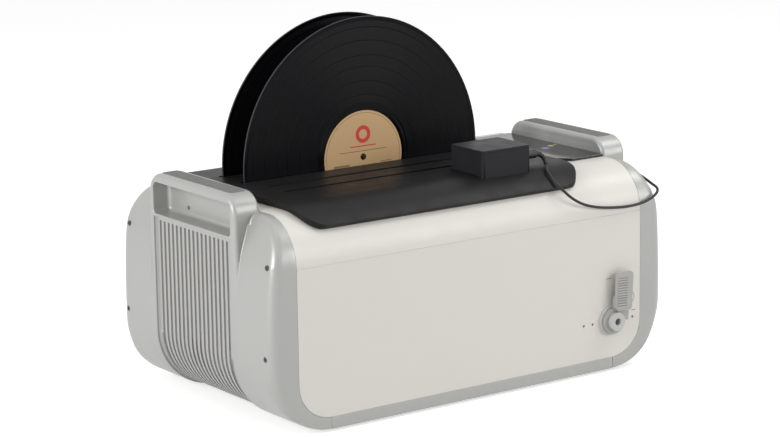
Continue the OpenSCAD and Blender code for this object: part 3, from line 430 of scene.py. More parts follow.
def moulded(name, colour, roughness, grain=0.00004, grain_scale=1400, tone=0.04, coat=0.0, shine=0.5):
    material, tree, shader = new_finish(name)
    where = place_of(tree)
    cloud = noise(tree, where, 9, 2)
    dark = tuple(c * (1 - tone) for c in colour)
    light = tuple(min(1, c * (1 + tone)) for c in colour)
    tree.links.new(blend_colours(tree, cloud, dark, light), shader.inputs["Base Color"])
    fine = noise(tree, where, grain_scale, 2)
    rough = remap(tree, noise(tree, where, 60, 4), 0.3, 0.7, roughness - 0.05, roughness + 0.05)
    tree.links.new(rough, shader.inputs["Roughness"])
    tree.links.new(bump(tree, fine, grain), shader.inputs["Normal"])
    shader.inputs["Coat Weight"].default_value = coat
    shader.inputs["Coat Roughness"].default_value = 0.2
    shader.inputs["Specular IOR Level"].default_value = shine
    return material


def shell_plastic(name):
    return moulded(name, (0.655, 0.638, 0.592), 0.44, FINE_GRAIN, FINE_SCALE, 0.012, coat=0.05)


def marked_panel(name, ink):
    material = shell_plastic(name)
    tree, shader, base = opened(material)
    across, deep, high = axes_of(tree, place_of(tree))
    marks = 0.0
    for tick in TICKS:
        marks = calc(tree, "MAXIMUM", bar_mask(tree, across, high, *tick), marks)
    dx = calc(tree, "SUBTRACT", across, ARC_X)
    dz = calc(tree, "SUBTRACT", high, ARC_Z)
    arc = within(tree, distance(tree, dx, dz), ARC_RADIUS, ARC_HALF_LINE)
    arc = calc(tree, "MULTIPLY", arc, calc(tree, "GREATER_THAN", dx, ARC_FROM))
    head_x = calc(tree, "ABSOLUTE", calc(tree, "SUBTRACT", across, ARROW_X))
    head_z = calc(tree, "SUBTRACT", high, ARROW_Z)
    head = calc(tree, "LESS_THAN", head_x, calc(tree, "MULTIPLY", head_z, ARROW_SLOPE))
    head = calc(tree, "MULTIPLY", head, calc(tree, "LESS_THAN", head_z, ARROW_LENGTH))
    marks = calc(tree, "MAXIMUM", marks, calc(tree, "MAXIMUM", arc, head))
    front = calc(tree, "LESS_THAN", deep, MARKED_SIDE)
    marks = calc(tree, "MULTIPLY", calc(tree, "MULTIPLY", marks, front), MARK_STRENGTH)
    tree.links.new(blend_colours(tree, marks, base, ink), shader.inputs["Base Color"])
    return material


def ribbed_grey(name, colour):
    material = moulded(name, colour, 0.4, FINE_GRAIN, FINE_SCALE, 0.02)
    tree, shader, base = opened(material)
    x, _, z = axes_of(tree, place_of(tree, move=-VALVE))
    along = calc(tree, "ADD", calc(tree, "MULTIPLY", x, math.sin(LEVER_LEAN)),
                 calc(tree, "MULTIPLY", z, math.cos(LEVER_LEAN)))
    across = calc(tree, "SUBTRACT", calc(tree, "MULTIPLY", x, math.cos(LEVER_LEAN)),
                  calc(tree, "MULTIPLY", z, math.sin(LEVER_LEAN)))
    step = calc(tree, "DIVIDE", calc(tree, "SUBTRACT", along, FIRST_RIB), RIB_PITCH)
    ridge = calc(tree, "ABSOLUTE", calc(tree, "SUBTRACT", calc(tree, "FRACT", step), 0.5))
    groove_shade = remap(tree, ridge, 0.30, 0.16, 0, 0.55)
    field = bar_mask(tree, across, along, *RIB_SIDES, FIRST_RIB - MARGIN, FIRST_RIB + RIB_PITCH * RIB_COUNT)
    groove_shade = calc(tree, "MULTIPLY", groove_shade, field)
    # Painted shade: the colour is darkened in each groove, where shade would fall
    dark = tuple(c * 0.45 for c in colour)
    tree.links.new(blend_colours(tree, groove_shade, base, dark), shader.inputs["Base Color"])
    return material


def glass_with_painted_reflections(name):
    material = moulded(name, (0.004, 0.004, 0.0055), 0.1, 0.0, 1000, 0.1)
    tree = material.node_tree
    shader = tree.nodes["Principled BSDF"]
    across, deep, _ = axes_of(tree, place_of(tree))
    # Painted reflections: the glass glows in soft coloured spots that stand in for reflected lights
    glow = (0, 0, 0)
    for x, y, size, colour in REFLECTION_GLOWS:
        far = distance(tree, calc(tree, "SUBTRACT", across, x), calc(tree, "SUBTRACT", deep, y))
        glow = blend_colours(tree, remap(tree, far, size * 0.3, size, 1, 0), glow, colour)
    tree.links.new(glow, shader.inputs["Emission Color"])
    shader.inputs["Emission Strength"].default_value = 0.5
    return material


def silver_paint(name, colour):
    material = moulded(name, colour, 0.36, 0.000012, FINE_SCALE, 0.015)
    tree, shader, base = opened(material)
    glint = remap(tree, noise(tree, place_of(tree), 2600, 1), 0.62, 0.8, 0, 0.5)
    light = tuple(min(1, c * 1.35) for c in colour)
    tree.links.new(blend_colours(tree, glint, base, light), shader.inputs["Base Color"])
    shader.inputs["Metallic"].default_value = 0.25
    return material


def brushed(name, colour, roughness, stretch):
    material, tree, shader = new_finish(name)
    lines = noise(tree, place_of(tree, stretch), 300, 4, 0.7)
    dark = tuple(c * 0.86 for c in colour)
    tree.links.new(blend_colours(tree, lines, dark, colour), shader.inputs["Base Color"])
    rough = remap(tree, lines, 0.3, 0.7, roughness - 0.08, roughness + 0.1)
    tree.links.new(rough, shader.inputs["Roughness"])
    tree.links.new(bump(tree, lines, FINE_GRAIN), shader.inputs["Normal"])
    shader.inputs["Metallic"].default_value = 1
    return material


def rubber(name, colour, roughness):
    return moulded(name, colour, roughness, 0.00008, 900, 0.12, shine=0.3)


def circuit_board(name):
    material, tree, shader = new_finish(name)
    where = place_of(tree)
    tracks = node_with(tree, "ShaderNodeTexBrick", {"Scale": 60, "Vector": where})
    green = blend_colours(tree, noise(tree, where, 120, 2), (0.015, 0.09, 0.04), (0.03, 0.16, 0.07))
    line = remap(tree, tracks.outputs["Fac"], 0, 1, 0, 0.5)
    tree.links.new(blend_colours(tree, line, green, (0.05, 0.24, 0.1)), shader.inputs["Base Color"])
    rough = remap(tree, noise(tree, where, 200, 3), 0.3, 0.7, 0.3, 0.5)
    tree.links.new(rough, shader.inputs["Roughness"])
    return material


def from_record(tree, middle_y):
    return place_of(tree, move=(-RECORD_X, -middle_y, -RECORD_Z))


# Fine grooves with bands of tone, smooth gaps between the tracks, and a painted highlight on the rim
def record_vinyl(name, middle_y):
    material, tree, shader = new_finish(name)
    across, _, high = axes_of(tree, from_record(tree, middle_y))
    radius = distance(tree, across, high)
    ring = node_with(tree, "ShaderNodeCombineXYZ", {"X": radius})
    bands = noise(tree, ring.outputs[0], BAND_SCALE, 5, 0.65)
    fine = calc(tree, "SINE", calc(tree, "MULTIPLY", radius, GROOVE_WAVES))
    gap = 0.0
    for place in TRACK_GAPS:
        gap = calc(tree, "MAXIMUM", within(tree, radius, place, GAP_HALF), gap)
    grooved = calc(tree, "MULTIPLY", calc(tree, "GREATER_THAN", radius, GROOVES_FROM),
                   calc(tree, "LESS_THAN", radius, GROOVES_TO))
    grooved = calc(tree, "MULTIPLY", grooved, calc(tree, "SUBTRACT", 1.0, gap))
    ripple = calc(tree, "ADD", calc(tree, "MULTIPLY", fine, 0.4), bands)
    height = calc(tree, "MULTIPLY", ripple, grooved)
    tree.links.new(bump(tree, height, 0.00006), shader.inputs["Normal"])
    matt = calc(tree, "ADD", grooved, calc(tree, "MULTIPLY", bands, 0.5))
    tree.links.new(remap(tree, matt, 0, 1.5, 0.13, 0.34), shader.inputs["Roughness"])
    tone = calc(tree, "MULTIPLY", bands, grooved)
    pressed = blend_colours(tree, tone, (0.002, 0.0022, 0.003), (0.006, 0.006, 0.007))
    # Painted highlight: the rim is made paler where its edge would catch the light
    rim = calc(tree, "GREATER_THAN", radius, RIM_HIGHLIGHT_FROM)
    tree.links.new(blend_colours(tree, rim, pressed, (0.055, 0.055, 0.06)), shader.inputs["Base Color"])
    shader.inputs["Specular IOR Level"].default_value = 0.08
    return material


def label_paper(name, middle_y):
    material, tree, shader = new_finish(name)
    where = from_record(tree, middle_y)
    across, _, high = axes_of(tree, where)
    radius = distance(tree, across, high)
    fibres = noise(tree, where, 900, 4, 0.7)
    paper = blend_colours(tree, fibres, (0.50, 0.31, 0.145), (0.60, 0.40, 0.205))
    far = distance(tree, across, calc(tree, "SUBTRACT", high, RING_HIGH))
    red = calc(tree, "SUBTRACT", calc(tree, "LESS_THAN", far, RING_OUTER),
               calc(tree, "LESS_THAN", far, RING_INNER), clamp=True)
    red = calc(tree, "MAXIMUM", red, bar_mask(tree, across, high, *RED_BAR))
    ink = within(tree, radius, LABEL_LINE, LABEL_LINE_HALF)
    for rule in RULES:
        ink = calc(tree, "MAXIMUM", bar_mask(tree, across, high, *rule), ink)
    inked = blend_colours(tree, calc(tree, "MULTIPLY", ink, 0.8), paper, (0.10, 0.06, 0.035))
    tree.links.new(blend_colours(tree, red, inked, (0.56, 0.035, 0.02)), shader.inputs["Base Color"])
    pressed = within(tree, radius, LABEL_PRESS, LABEL_PRESS_HALF)
    relief = calc(tree, "SUBTRACT", calc(tree, "MULTIPLY", fibres, 0.3), pressed)
    tree.links.new(bump(tree, relief, 0.00006), shader.inputs["Normal"])
    shader.inputs["Roughness"].default_value = 0.55
    return material


# Pieces

BODY_OF = {node: body for body, nodes in frame["record"]["behaviour"]["bodies"].items() for node in nodes}


def dress(node, material):
    piece = frame["nodes"][node]
    piece.data.materials.clear()
    piece.data.materials.append(material)


def new_piece(name, mesh, body, material):
    piece = placed(name, mesh)
    mesh.materials.clear()
    mesh.materials.append(material)
    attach(piece, body)
    return piece


def finished(name, shape, body, material, angle):
    return new_piece(name, smoothed(name, shape, angle), body, material)


def clean_copy(node):
    shape = bmesh.new()
    shape.from_mesh(frame["nodes"][node].data)
    bmesh.ops.remove_doubles(shape, verts=shape.verts, dist=WELD)
    bmesh.ops.dissolve_limit(shape, angle_limit=math.radians(FLAT_WITHIN), verts=shape.verts,
                             edges=shape.edges)
    return shape


def rounded_off(shape, radius, steps, chosen):
    edges = [edge for edge in shape.edges
             if edge.is_manifold and edge.calc_face_angle(0) > math.radians(ROUNDED_FROM)
             and chosen(edge, (edge.verts[0].co + edge.verts[1].co) / 2)]
    if edges:
        bmesh.ops.bevel(shape, geom=edges, offset=radius, offset_type="OFFSET", segments=steps,
                        profile=0.5, affect="EDGES", clamp_overlap=True)


# The piece that stands in for a plain node, with normals that keep flat faces flat
def stand_in(node, shape, material, angle=SHARP_FROM):
    name = node + "_finished"
    rough = placed(name + "_rough", smoothed(name + " rough", shape, angle))
    normals = rough.modifiers.new("normals", "WEIGHTED_NORMAL")
    normals.keep_sharp = True
    piece = new_piece(name, applied(rough), BODY_OF[node], material)
    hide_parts(node)


def softened(node, rounds, material, shape=None, angle=SHARP_FROM):
    shape = shape or clean_copy(node)
    for radius, steps, chosen in rounds:
        rounded_off(shape, radius, steps, chosen)
    stand_in(node, shape, material, angle)


# Which edges are rounded: each chooser gets the edge and its middle

UPRIGHT_RISE = 0.01
LONG_FROM = 0.0032
LEDGE = 0.0005


def every_edge(edge, middle):
    return True


def upright_edge(edge, middle):
    return abs(edge.verts[0].co.z - edge.verts[1].co.z) > UPRIGHT_RISE


def long_edge(edge, middle):
    return edge.calc_length() > LONG_FROM


def spot(middle):
    return abs(middle.x), abs(middle.y - SHIFT_Y), middle.z


def pocket_hollow(edge, middle):
    along, across, high = spot(middle)
    inside = along < HALF_LENGTH - MARGIN and across < POCKET_HALF + SLACK and high < BAR_LOW - MARGIN
    return inside and high > POCKET_LOW - SLACK and along > POCKET_BACK - SLACK


def pocket_rim(edge, middle):
    _, across, high = spot(middle)
    on_end = all(abs(abs(vert.co.x) - HALF_LENGTH) < OVERLAP for vert in edge.verts)
    return on_end and across < POCKET_HALF + SLACK and high > POCKET_LOW - SLACK


def field_edge(edge, middle):
    _, across, high = spot(middle)
    on_border = across > POCKET_HALF - SLACK or high > FIELD_TOP - SLACK
    return across < POCKET_HALF + SLACK and high < POCKET_LOW - LEDGE and on_border


# Radius, steps and chooser for the caps
CAP_ROUNDS = (
    (0.0045, 4, pocket_hollow),
    (0.0013, 3, pocket_rim),
    (0.001, 2, field_edge),
)


# Lines and simple forms

def quarter(steps):
    return [math.radians(90 * k / steps) for k in range(steps + 1)]


def full_turn(steps):
    return [2 * math.pi * k / steps for k in range(steps)]


def smooth_line(points, steps):
    line = []
    last = len(points) - 1
    for i in range(last):
        a, b, c, d = (Vector(points[max(i - 1, 0)]), Vector(points[i]), Vector(points[i + 1]),
                      Vector(points[min(i + 2, last)]))
        for k in range(steps):
            t = k / steps
            line.append(0.5 * ((2 * b) + (c - a) * t + (2 * a - 5 * b + 4 * c - d) * t * t
                               + (3 * b - a - 3 * c + d) * t ** 3))
    line.append(Vector(points[last]))
    return line


# The lead winds inwards on the floor, climbs by one width and winds outwards on top
def coil_line(steps):
    outer = COIL_INNER + COIL_PITCH * COIL_TURNS / 2
    middle = (COIL_ENTRY[0] - LEAD_WIDTH, COIL_ENTRY[1] + outer)
    line = []
    for i in range(COIL_TURNS * steps + 1):
        turn = i / steps - COIL_TURNS / 2
        radius = COIL_INNER + COIL_PITCH * abs(turn)
        angle = math.radians(-90 - 360 * (turn + COIL_TURNS / 2))
        climb = min(max(turn * 2 + 0.5, 0), 1)
        line.append(Vector((middle[0] + radius * math.cos(angle), middle[1] + radius * math.sin(angle),
                            COIL_ENTRY[2] + COIL_PITCH * climb)))
    return line, Vector((middle[0] - COIL_TAIL, COIL_ENTRY[1], COIL_ENTRY[2] + COIL_PITCH))


def tube_shape(line, radii, sides):
    shape = bmesh.new()
    side = None
    rings = []
    for i, point in enumerate(line):
        heading = (line[min(i + 1, len(line) - 1)] - line[max(i - 1, 0)]).normalized()
        if side is None:
            side = heading.cross(Vector((0, 0, 1)))
            side = side if side.length > 0.1 else heading.cross(Vector((0, 1, 0)))
        side = (side - heading * side.dot(heading)).normalized()
        other = heading.cross(side)
        rings.append([shape.verts.new(point + radii[i] * (math.cos(a) * side + math.sin(a) * other))
                      for a in full_turn(sides)])
    for low, high in zip(rings, rings[1:]):
        for k in range(sides):
            shape.faces.new((low[k], low[(k + 1) % sides], high[(k + 1) % sides], high[k]))
    shape.faces.new(list(reversed(rings[0])))
    shape.faces.new(rings[-1])
    return shape


def loft(loops):
    shape = bmesh.new()
    rings = [[shape.verts.new(place) for place in loop] for loop in loops]
    for low, high in zip(rings, rings[1:]):
        count = len(low)
        for k in range(count):
            shape.faces.new((low[k], low[(k + 1) % count], high[(k + 1) % count], high[k]))
    shape.faces.new(rings[0])
    shape.faces.new(rings[-1])
    bmesh.ops.recalc_face_normals(shape, faces=shape.faces)
    return shape


def lathe_x(profile, place, heading, sides):
    loops = []
    for reach, radius in profile:
        loops.append([(place[0] + heading * reach, place[1] + radius * math.cos(t),
                       place[2] + radius * math.sin(t)) for t in full_turn(sides)])
    return loft(loops)


def combined(operation, first, second):
    item = placed("first", mesh_of("first", first))
    tool = placed("second", mesh_of("second", second))
    cut = item.modifiers.new("cut", "BOOLEAN")
    cut.operation = operation
    cut.solver = "EXACT"
    cut.object = tool
    shape = bmesh.new()
    join_in(shape, applied(item, tool))
    return shape


# The cap's outer form: the end profile and the shell's outline, joined by a rounded edge

# The ear's upper line, from the widest point up: how far in, and how high
EAR_LINE = [
    (0.0, 0.1), (0.0002, 0.115), (0.00045, 0.126), (0.00095, 0.1375), (0.00178, 0.15), (0.0031, 0.163),
    (0.004, 0.17), (0.005, 0.176), (0.0061, 0.181), (0.0078, 0.187), (0.0098, 0.193), (0.0127, 0.2012),
    (0.0147, 0.2068), (0.0168, 0.2118), (0.0184, 0.2149), (0.0203, 0.2174), (0.0227, 0.2192),
    (0.0255, 0.22045), (0.031, 0.2211), (0.037, 0.22135), (0.048, 0.2214),
]

# Rays start on a spine inside the cap and run outwards. The core is where the spine's rows aim.
CORE_START = (0.158, 0.06)
CORE_CLIMB = (0.008, 0.1)
SPINE_DEPTH = 0.022
FLAT_PARTS = (0, 0.4, 0.6, 0.7, 0.76, 0.82, 0.88, 0.94)
INNER_PARTS = (0.12, 0.25, 0.4, 0.6, 0.8, 1.0)
RAY_LENGTH = 0.05
RAY_HALVINGS = 26
ARC_STEPS = 16
EAR_STEPS = 3
EASE = 0.8
TINY_EDGE = 1e-6


def end_profile():
    line = []
    reach = CAP_CORNER - SKIN
    for k in range(ARC_STEPS + 1):
        turn = math.radians(-90 + 90 * k / ARC_STEPS)
        line.append((TRAY_HALF + reach * math.cos(turn), CAP_FOOT + CAP_CORNER + reach * math.sin(turn)))
    ear = smooth_line([(x, z, 0) for x, z in EAR_LINE], EAR_STEPS)
    line += [(HALF_LENGTH - SKIN - point.x, point.y) for point in ear]
    return numpy.array(line)


# How far points lie outside the end profile, and how much its nearest stretch leans upwards
def below_profile(line, x, z):
    start, end = line[:-1], line[1:]
    along = end - start
    size = numpy.hypot(along[:, 0], along[:, 1])
    dx = x[:, None] - start[None, :, 0]
    dz = z[:, None] - start[None, :, 1]
    part = numpy.clip((dx * along[:, 0] + dz * along[:, 1]) / size ** 2, 0, 1)
    far = numpy.hypot(dx - part * along[:, 0], dz - part * along[:, 1])
    near = numpy.argmin(far, axis=1)
    rows = numpy.arange(len(x))
    out = (dx[rows, near] * along[near, 1] - dz[rows, near] * along[near, 0]) / size[near]
    return numpy.where(out < 0, -far[rows, near], far[rows, near]), -along[near, 0] / size[near]


# The same for the shell's outline, with its round shoulders
def below_outline(y, z):
    across = numpy.abs(y) - SHOULDER_Y
    high = z - SEAM_HEIGHT
    out_y, out_z = numpy.maximum(across, 0), numpy.maximum(high, 0)
    reach = numpy.hypot(out_y, out_z)
    depth = reach + numpy.minimum(numpy.maximum(across, high), 0) - SHOULDER + SKIN
    return depth, numpy.where(reach > 0, out_z / numpy.maximum(reach, 1e-9), 0)


# Where both surfaces meet, the edge is rounded, less at the foot, the ear and where they run alike
def outside(line, points):
    profile, lean = below_profile(line, points[:, 0], points[:, 2])
    rise = numpy.clip((points[:, 2] - FOOT_FADE_FROM) / FADE_HEIGHT, 0, 1)
    high = numpy.clip((points[:, 2] - EAR_FADE_FROM) / FADE_HEIGHT, 0, 1)
    radius = FOOT_ROUND + (CAP_ROUND - FOOT_ROUND) * rise * rise * (3 - 2 * rise)
    radius = radius - EAR_LOSS * high * high * (3 - 2 * high)
    outline, tilt = below_outline(points[:, 1], points[:, 2])
    edge = numpy.maximum(radius * (1 - numpy.clip(lean * tilt, 0, 1)) ** EASE, TINY_EDGE)
    over_profile, over_outline = profile + edge, outline + edge
    inner = numpy.minimum(numpy.maximum(over_profile, over_outline), 0)
    corner = numpy.hypot(numpy.maximum(over_profile, 0), numpy.maximum(over_outline, 0))
    return inner + corner - edge


def spine_reach(z):
    return SHOULDER_Y + math.sqrt(SHOULDER ** 2 - max(z - SEAM_HEIGHT, 0) ** 2) - SPINE_DEPTH


# Half a row of rays for one point of the end profile: starts and headings
def half_row(edge, share):
    core = numpy.array(CORE_START) + share * numpy.array(CORE_CLIMB)
    inward = (core - edge) / numpy.hypot(*(core - edge))
    spine = edge + SPINE_DEPTH * inward
    reach = spine_reach(spine[1])
    half = []
    for part in FLAT_PARTS:
        half.append(((spine[0], reach * part, spine[1]), (-inward[0], 0, -inward[1])))
    for turn in quarter(10):
        half.append(((spine[0], reach, spine[1]),
                     (-inward[0] * math.cos(turn), math.sin(turn), -inward[1] * math.cos(turn))))
    for part in INNER_PARTS:
        place = spine + (core - spine) * part
        half.append(((place[0], spine_reach(place[1]), place[1]), (0, 1, 0)))
    return half


def cap_form(side):
    line = end_profile()
    rows = len(line)
    starts, heads = [], []
    for i, (x, z) in enumerate(line):
        half = half_row(numpy.array([x, z]), i / (rows - 1))
        mirrored = [((a[0], -a[1], a[2]), (b[0], -b[1], b[2])) for a, b in reversed(half[1:])]
        for start, head in mirrored + half:
            starts.append(start)
            heads.append(head)
    starts, heads = numpy.array(starts), numpy.array(heads)
    low, high = numpy.zeros(len(starts)), numpy.full(len(starts), RAY_LENGTH)
    for _ in range(RAY_HALVINGS):
        middle = (low + high) / 2
        far = outside(line, starts + heads * middle[:, None]) > 0
        high = numpy.where(far, middle, high)
        low = numpy.where(far, low, middle)
    found = starts + heads * low[:, None]
    shape = bmesh.new()
    verts = [shape.verts.new((side * x, y + SHIFT_Y, z)) for x, y, z in found.tolist()]
    wide = len(verts) // rows
    for i in range(rows - 1):
        for j in range(wide):
            a, b = i * wide + j, i * wide + (j + 1) % wide
            shape.faces.new((verts[a], verts[b], verts[b + wide], verts[a + wide]))
    shape.faces.new(verts[:wide])
    shape.faces.new(verts[-wide:])
    bmesh.ops.recalc_face_normals(shape, faces=shape.faces)
    return shape


def handle_form(side):
    inner, outer = SHELL_HALF + SEAM_GAP, HALF_LENGTH - SKIN / 2
    turns = quarter(6)
    steps = [(inner + HANDLE_ROUND * (1 - math.sin(t)), HANDLE_ROUND * (1 - math.cos(t)))
             for t in reversed(turns)]
    steps += [(outer - HANDLE_ROUND * (1 - math.sin(t)), HANDLE_ROUND * (1 - math.cos(t))) for t in turns]
    loops = []
    for x, inset in steps:
        half = GRIP_HALF - SKIN / 2 - inset
        corner = GRIP_CORNER - inset
        top = GRIP_TOP - SKIN / 2 - inset
        loop = [(half, GRIP_FOOT)]
        for turn in quarter(14):
            loop.append((half - corner + corner * math.cos(turn), top - corner + corner * math.sin(turn)))
        loop += [(-y, z) for y, z in reversed(loop)]
        loops.append([(side * x, y + SHIFT_Y, z) for y, z in loop])
    return loft(loops)


def formed_cap(node, side, material):
    shape = clean_copy(node)
    for radius, steps, chosen in CAP_ROUNDS:
        rounded_off(shape, radius, steps, chosen)
    form = combined("UNION", cap_form(side), handle_form(side))
    stand_in(node, combined("INTERSECT", shape, form), material)


def formed_grip(node, side, material):
    stand_in(node, combined("INTERSECT", clean_copy(node), handle_form(side)), material)


# A slab with rounded lower corners, deeper and taller than the lid
LID_FORM_HALF = 0.2
LID_FORM_TOP = 0.3


def lid_form():
    low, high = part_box("lid_cover")
    drop = low[2] + LID_CORNER
    loop = [(low[0], LID_FORM_TOP), (high[0], LID_FORM_TOP)]
    for turn in quarter(10):
        loop.append((high[0] - LID_CORNER + LID_CORNER * math.cos(turn), drop - LID_CORNER * math.sin(turn)))
    for turn in reversed(quarter(10)):
        loop.append((low[0] + LID_CORNER - LID_CORNER * math.cos(turn), drop - LID_CORNER * math.sin(turn)))
    return loft([[(x, y, z) for x, z in loop] for y in (-LID_FORM_HALF, LID_FORM_HALF)])


# Small pieces that the solids don't have

# A fillet in a pocket's upper corner opens a little towards the rim: how far along, how much wider
POCKET_STEPS = ((POCKET_BACK - OVERLAP, 0), (HALF_LENGTH - 0.0016, 0), (HALF_LENGTH - 0.0006, 0.0007))


def pocket_corner(side, end):
    out, top = POCKET_HALF + OVERLAP, BAR_LOW + OVERLAP
    loop = [(out, top), (out - POCKET_ROUND, top)]
    for turn in quarter(10)[1:-1]:
        loop.append((out - POCKET_ROUND + POCKET_ROUND * math.sin(turn),
                     top - POCKET_ROUND + POCKET_ROUND * math.cos(turn)))
    loop.append((out, top - POCKET_ROUND))
    loops = []
    for x, more in POCKET_STEPS:
        grown = []
        for y, z in loop:
            reach = more if (y < out and z < top) else 0
            grown.append((side * x, end * min(y + reach, out) + SHIFT_Y, min(z + reach, top)))
        loops.append(grown)
    return loft(loops)


def pocket_corners(material):
    for name, side in (("left", -1), ("right", 1)):
        shape = bmesh.new()
        for end in (-1, 1):
            join_in(shape, mesh_of("corner", pocket_corner(side, end)))
        finished(name + "_pocket_corners", shape, "base", material, 30)


# Strips behind the front and rear seams: inset from their outer face, and height over the seam
TONGUE_STEPS = ((0, -0.0005), (0, 0.0008), (0.0006, 0.0014), (0.0022, 0.0014), (0.0022, -0.0012),
                (0.0006, -0.0012))
TONGUE_INSET = 0.00035
TONGUE_END = 0.0006


def seam_tongues(material):
    shape = bmesh.new()
    outer = HALF_DEPTH - TONGUE_INSET
    ends = (-SHELL_HALF + TONGUE_END, SHELL_HALF - TONGUE_END)
    for end in (-1, 1):
        loops = [[(x, end * (outer - inset) + SHIFT_Y, SEAM_HEIGHT + z) for inset, z in TONGUE_STEPS]
                 for x in ends]
        join_in(shape, mesh_of("tongue", loft(loops)))
    finished("seam_tongues", shape, "base", material, 30)


# A thin dark curved sheet behind the slots at the left cap's foot, put there as painted shade for the inside
# of the slots, with its angles in degrees
SCREEN_DEPTH = 0.0095
SCREEN_THICK = 0.0009
SCREEN_HALF = 0.014
SCREEN_FROM = -2
SCREEN_SWEEP = 24
SCREEN_STEPS = 8


# Painted shade: a dark sheet where the slots show only shade inside
def slot_shade_sheet(material):
    outer = CAP_CORNER - SCREEN_DEPTH
    inner = outer - SCREEN_THICK
    loops = []
    for k in range(SCREEN_STEPS + 1):
        turn = math.radians(SCREEN_FROM - SCREEN_SWEEP * k / SCREEN_STEPS)
        ring = []
        for reach, y in ((outer, -SCREEN_HALF), (outer, SCREEN_HALF), (inner, SCREEN_HALF),
                         (inner, -SCREEN_HALF)):
            ring.append((-TRAY_HALF - reach * math.cos(turn), y + SHIFT_Y,
                         CAP_FOOT + CAP_CORNER + reach * math.sin(turn)))
        loops.append(ring)
    finished("left_slot_shade_sheet", loft(loops), "base", material, 30)


# A screw in the back of each pocket: how far out, and radius
SCREW_PROFILE = ((-0.0003, 0.0021), (0.0003, 0.0021), (0.00045, 0.0018), (0.00045, 0.0012), (-0.0002, 0.001))
SCREW_Y = 0.037
SCREW_Z = 0.2065
SCREW_SIDES = 24


def pocket_screws(material):
    for name, side in (("left", -1), ("right", 1)):
        shape = lathe_x(SCREW_PROFILE, (side * POCKET_BACK, SCREW_Y + SHIFT_Y, SCREW_Z), side, SCREW_SIDES)
        finished(name + "_pocket_screw", shape, "base", material, 40)


# Nubs in rows on a grip patch, with a row of teeth along both long sides
NUBS = {"Length": 0.1265, "Width": 0.0135, "Pitch": 0.0021, "Nub radius": 0.0007, "Nub height": 0.0004,
        "Tooth length": 0.0016}
NUB_TAPER = 0.55
NUB_SIDES = 8
NUB_LIFT = 0.0001


def nub_tree():
    tree = bpy.data.node_groups.new("grip nubs", "GeometryNodeTree")
    face = tree.interface
    face.new_socket("Geometry", in_out="OUTPUT", socket_type="NodeSocketGeometry")
    for name in NUBS:
        face.new_socket(name, in_out="INPUT", socket_type="NodeSocketFloat")
    face.new_socket("Finish", in_out="INPUT", socket_type="NodeSocketMaterial")
    given = tree.nodes.new("NodeGroupInput").outputs
    result = tree.nodes.new("NodeGroupOutput")
    count_x = calc(tree, "DIVIDE", given["Width"], given["Pitch"])
    count_y = calc(tree, "DIVIDE", given["Length"], given["Pitch"])
    nub = node_with(tree, "GeometryNodeMeshCone", {
        "Vertices": NUB_SIDES, "Radius Bottom": given["Nub radius"],
        "Radius Top": calc(tree, "MULTIPLY", given["Nub radius"], NUB_TAPER),
        "Depth": given["Nub height"]})
    grid = node_with(tree, "GeometryNodeMeshGrid", {
        "Size X": given["Width"], "Size Y": given["Length"],
        "Vertices X": count_x, "Vertices Y": count_y})
    rows = node_with(tree, "GeometryNodeInstanceOnPoints", {
        "Points": grid.outputs["Mesh"], "Instance": nub.outputs["Mesh"]})
    size = node_with(tree, "ShaderNodeCombineXYZ", {
        "X": given["Tooth length"], "Y": given["Nub radius"], "Z": given["Nub height"]})
    tooth = node_with(tree, "GeometryNodeMeshCube", {"Size": size.outputs[0]})
    sides = node_with(tree, "GeometryNodeMeshGrid", {
        "Size X": calc(tree, "ADD", given["Width"], given["Tooth length"]),
        "Size Y": given["Length"], "Vertices X": 2, "Vertices Y": count_y})
    teeth = node_with(tree, "GeometryNodeInstanceOnPoints", {
        "Points": sides.outputs["Mesh"], "Instance": tooth.outputs["Mesh"]})
    join = tree.nodes.new("GeometryNodeJoinGeometry")
    tree.links.new(rows.outputs["Instances"], join.inputs[0])
    tree.links.new(teeth.outputs["Instances"], join.inputs[0])
    real = node_with(tree, "GeometryNodeRealizeInstances", {"Geometry": join.outputs[0]})
    finish = node_with(tree, "GeometryNodeSetMaterial", {
        "Geometry": real.outputs[0], "Material": given["Finish"]})
    tree.links.new(finish.outputs[0], result.inputs[0])
    return tree


def made_by(tree, values):
    item = placed("pattern", bpy.data.meshes.new("pattern"))
    pattern = item.modifiers.new("pattern", "NODES")
    pattern.node_group = tree
    for socket in tree.interface.items_tree:
        if socket.in_out == "INPUT":
            pattern[socket.identifier] = values[socket.name]
    return applied(item)


def lay_grip_nubs(material):
    tree = nub_tree()
    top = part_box("grip_patches")[1][2]
    shape = bmesh.new()
    for side in (-1, 1):
        mesh = made_by(tree, {**NUBS, "Finish": material})
        middle = ((HALF_LENGTH + SHELL_HALF) / 2 * side, SHIFT_Y, top + NUB_LIFT)
        mesh.transform(Matrix.Translation(middle))
        join_in(shape, mesh)
    finished("grip_nubs", shape, "base", material, 30)


def lay_lead(sheath, moulding):
    free = smooth_line(LEAD_ROUTE, LEAD_STEPS)
    wound, tail = coil_line(COIL_STEPS)
    line = free + [Vector(COIL_ENTRY)] + wound + [tail]
    shape = tube_shape(line, [LEAD_WIDTH / 2] * len(line), LEAD_SIDES)
    lead = finished("lead", shape, "lid", sheath, 50)
    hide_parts("dc_lead", "dc_lead_coil")
    relief = smooth_line(RELIEF_ROUTE, RELIEF_STEPS)
    count = len(relief) - 1
    radii = []
    for i in range(count + 1):
        notch = RELIEF_NOTCH if i % 4 in (2, 3) and 3 < i < count - 2 else 0
        radii.append(RELIEF_RADIUS - RELIEF_TAPER * i / count - notch)
    shape = tube_shape(relief, radii, RELIEF_SIDES)
    collar = finished("plug_relief", shape, "lid", moulding, 60)
    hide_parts("dc_strain_relief")


# Everything together

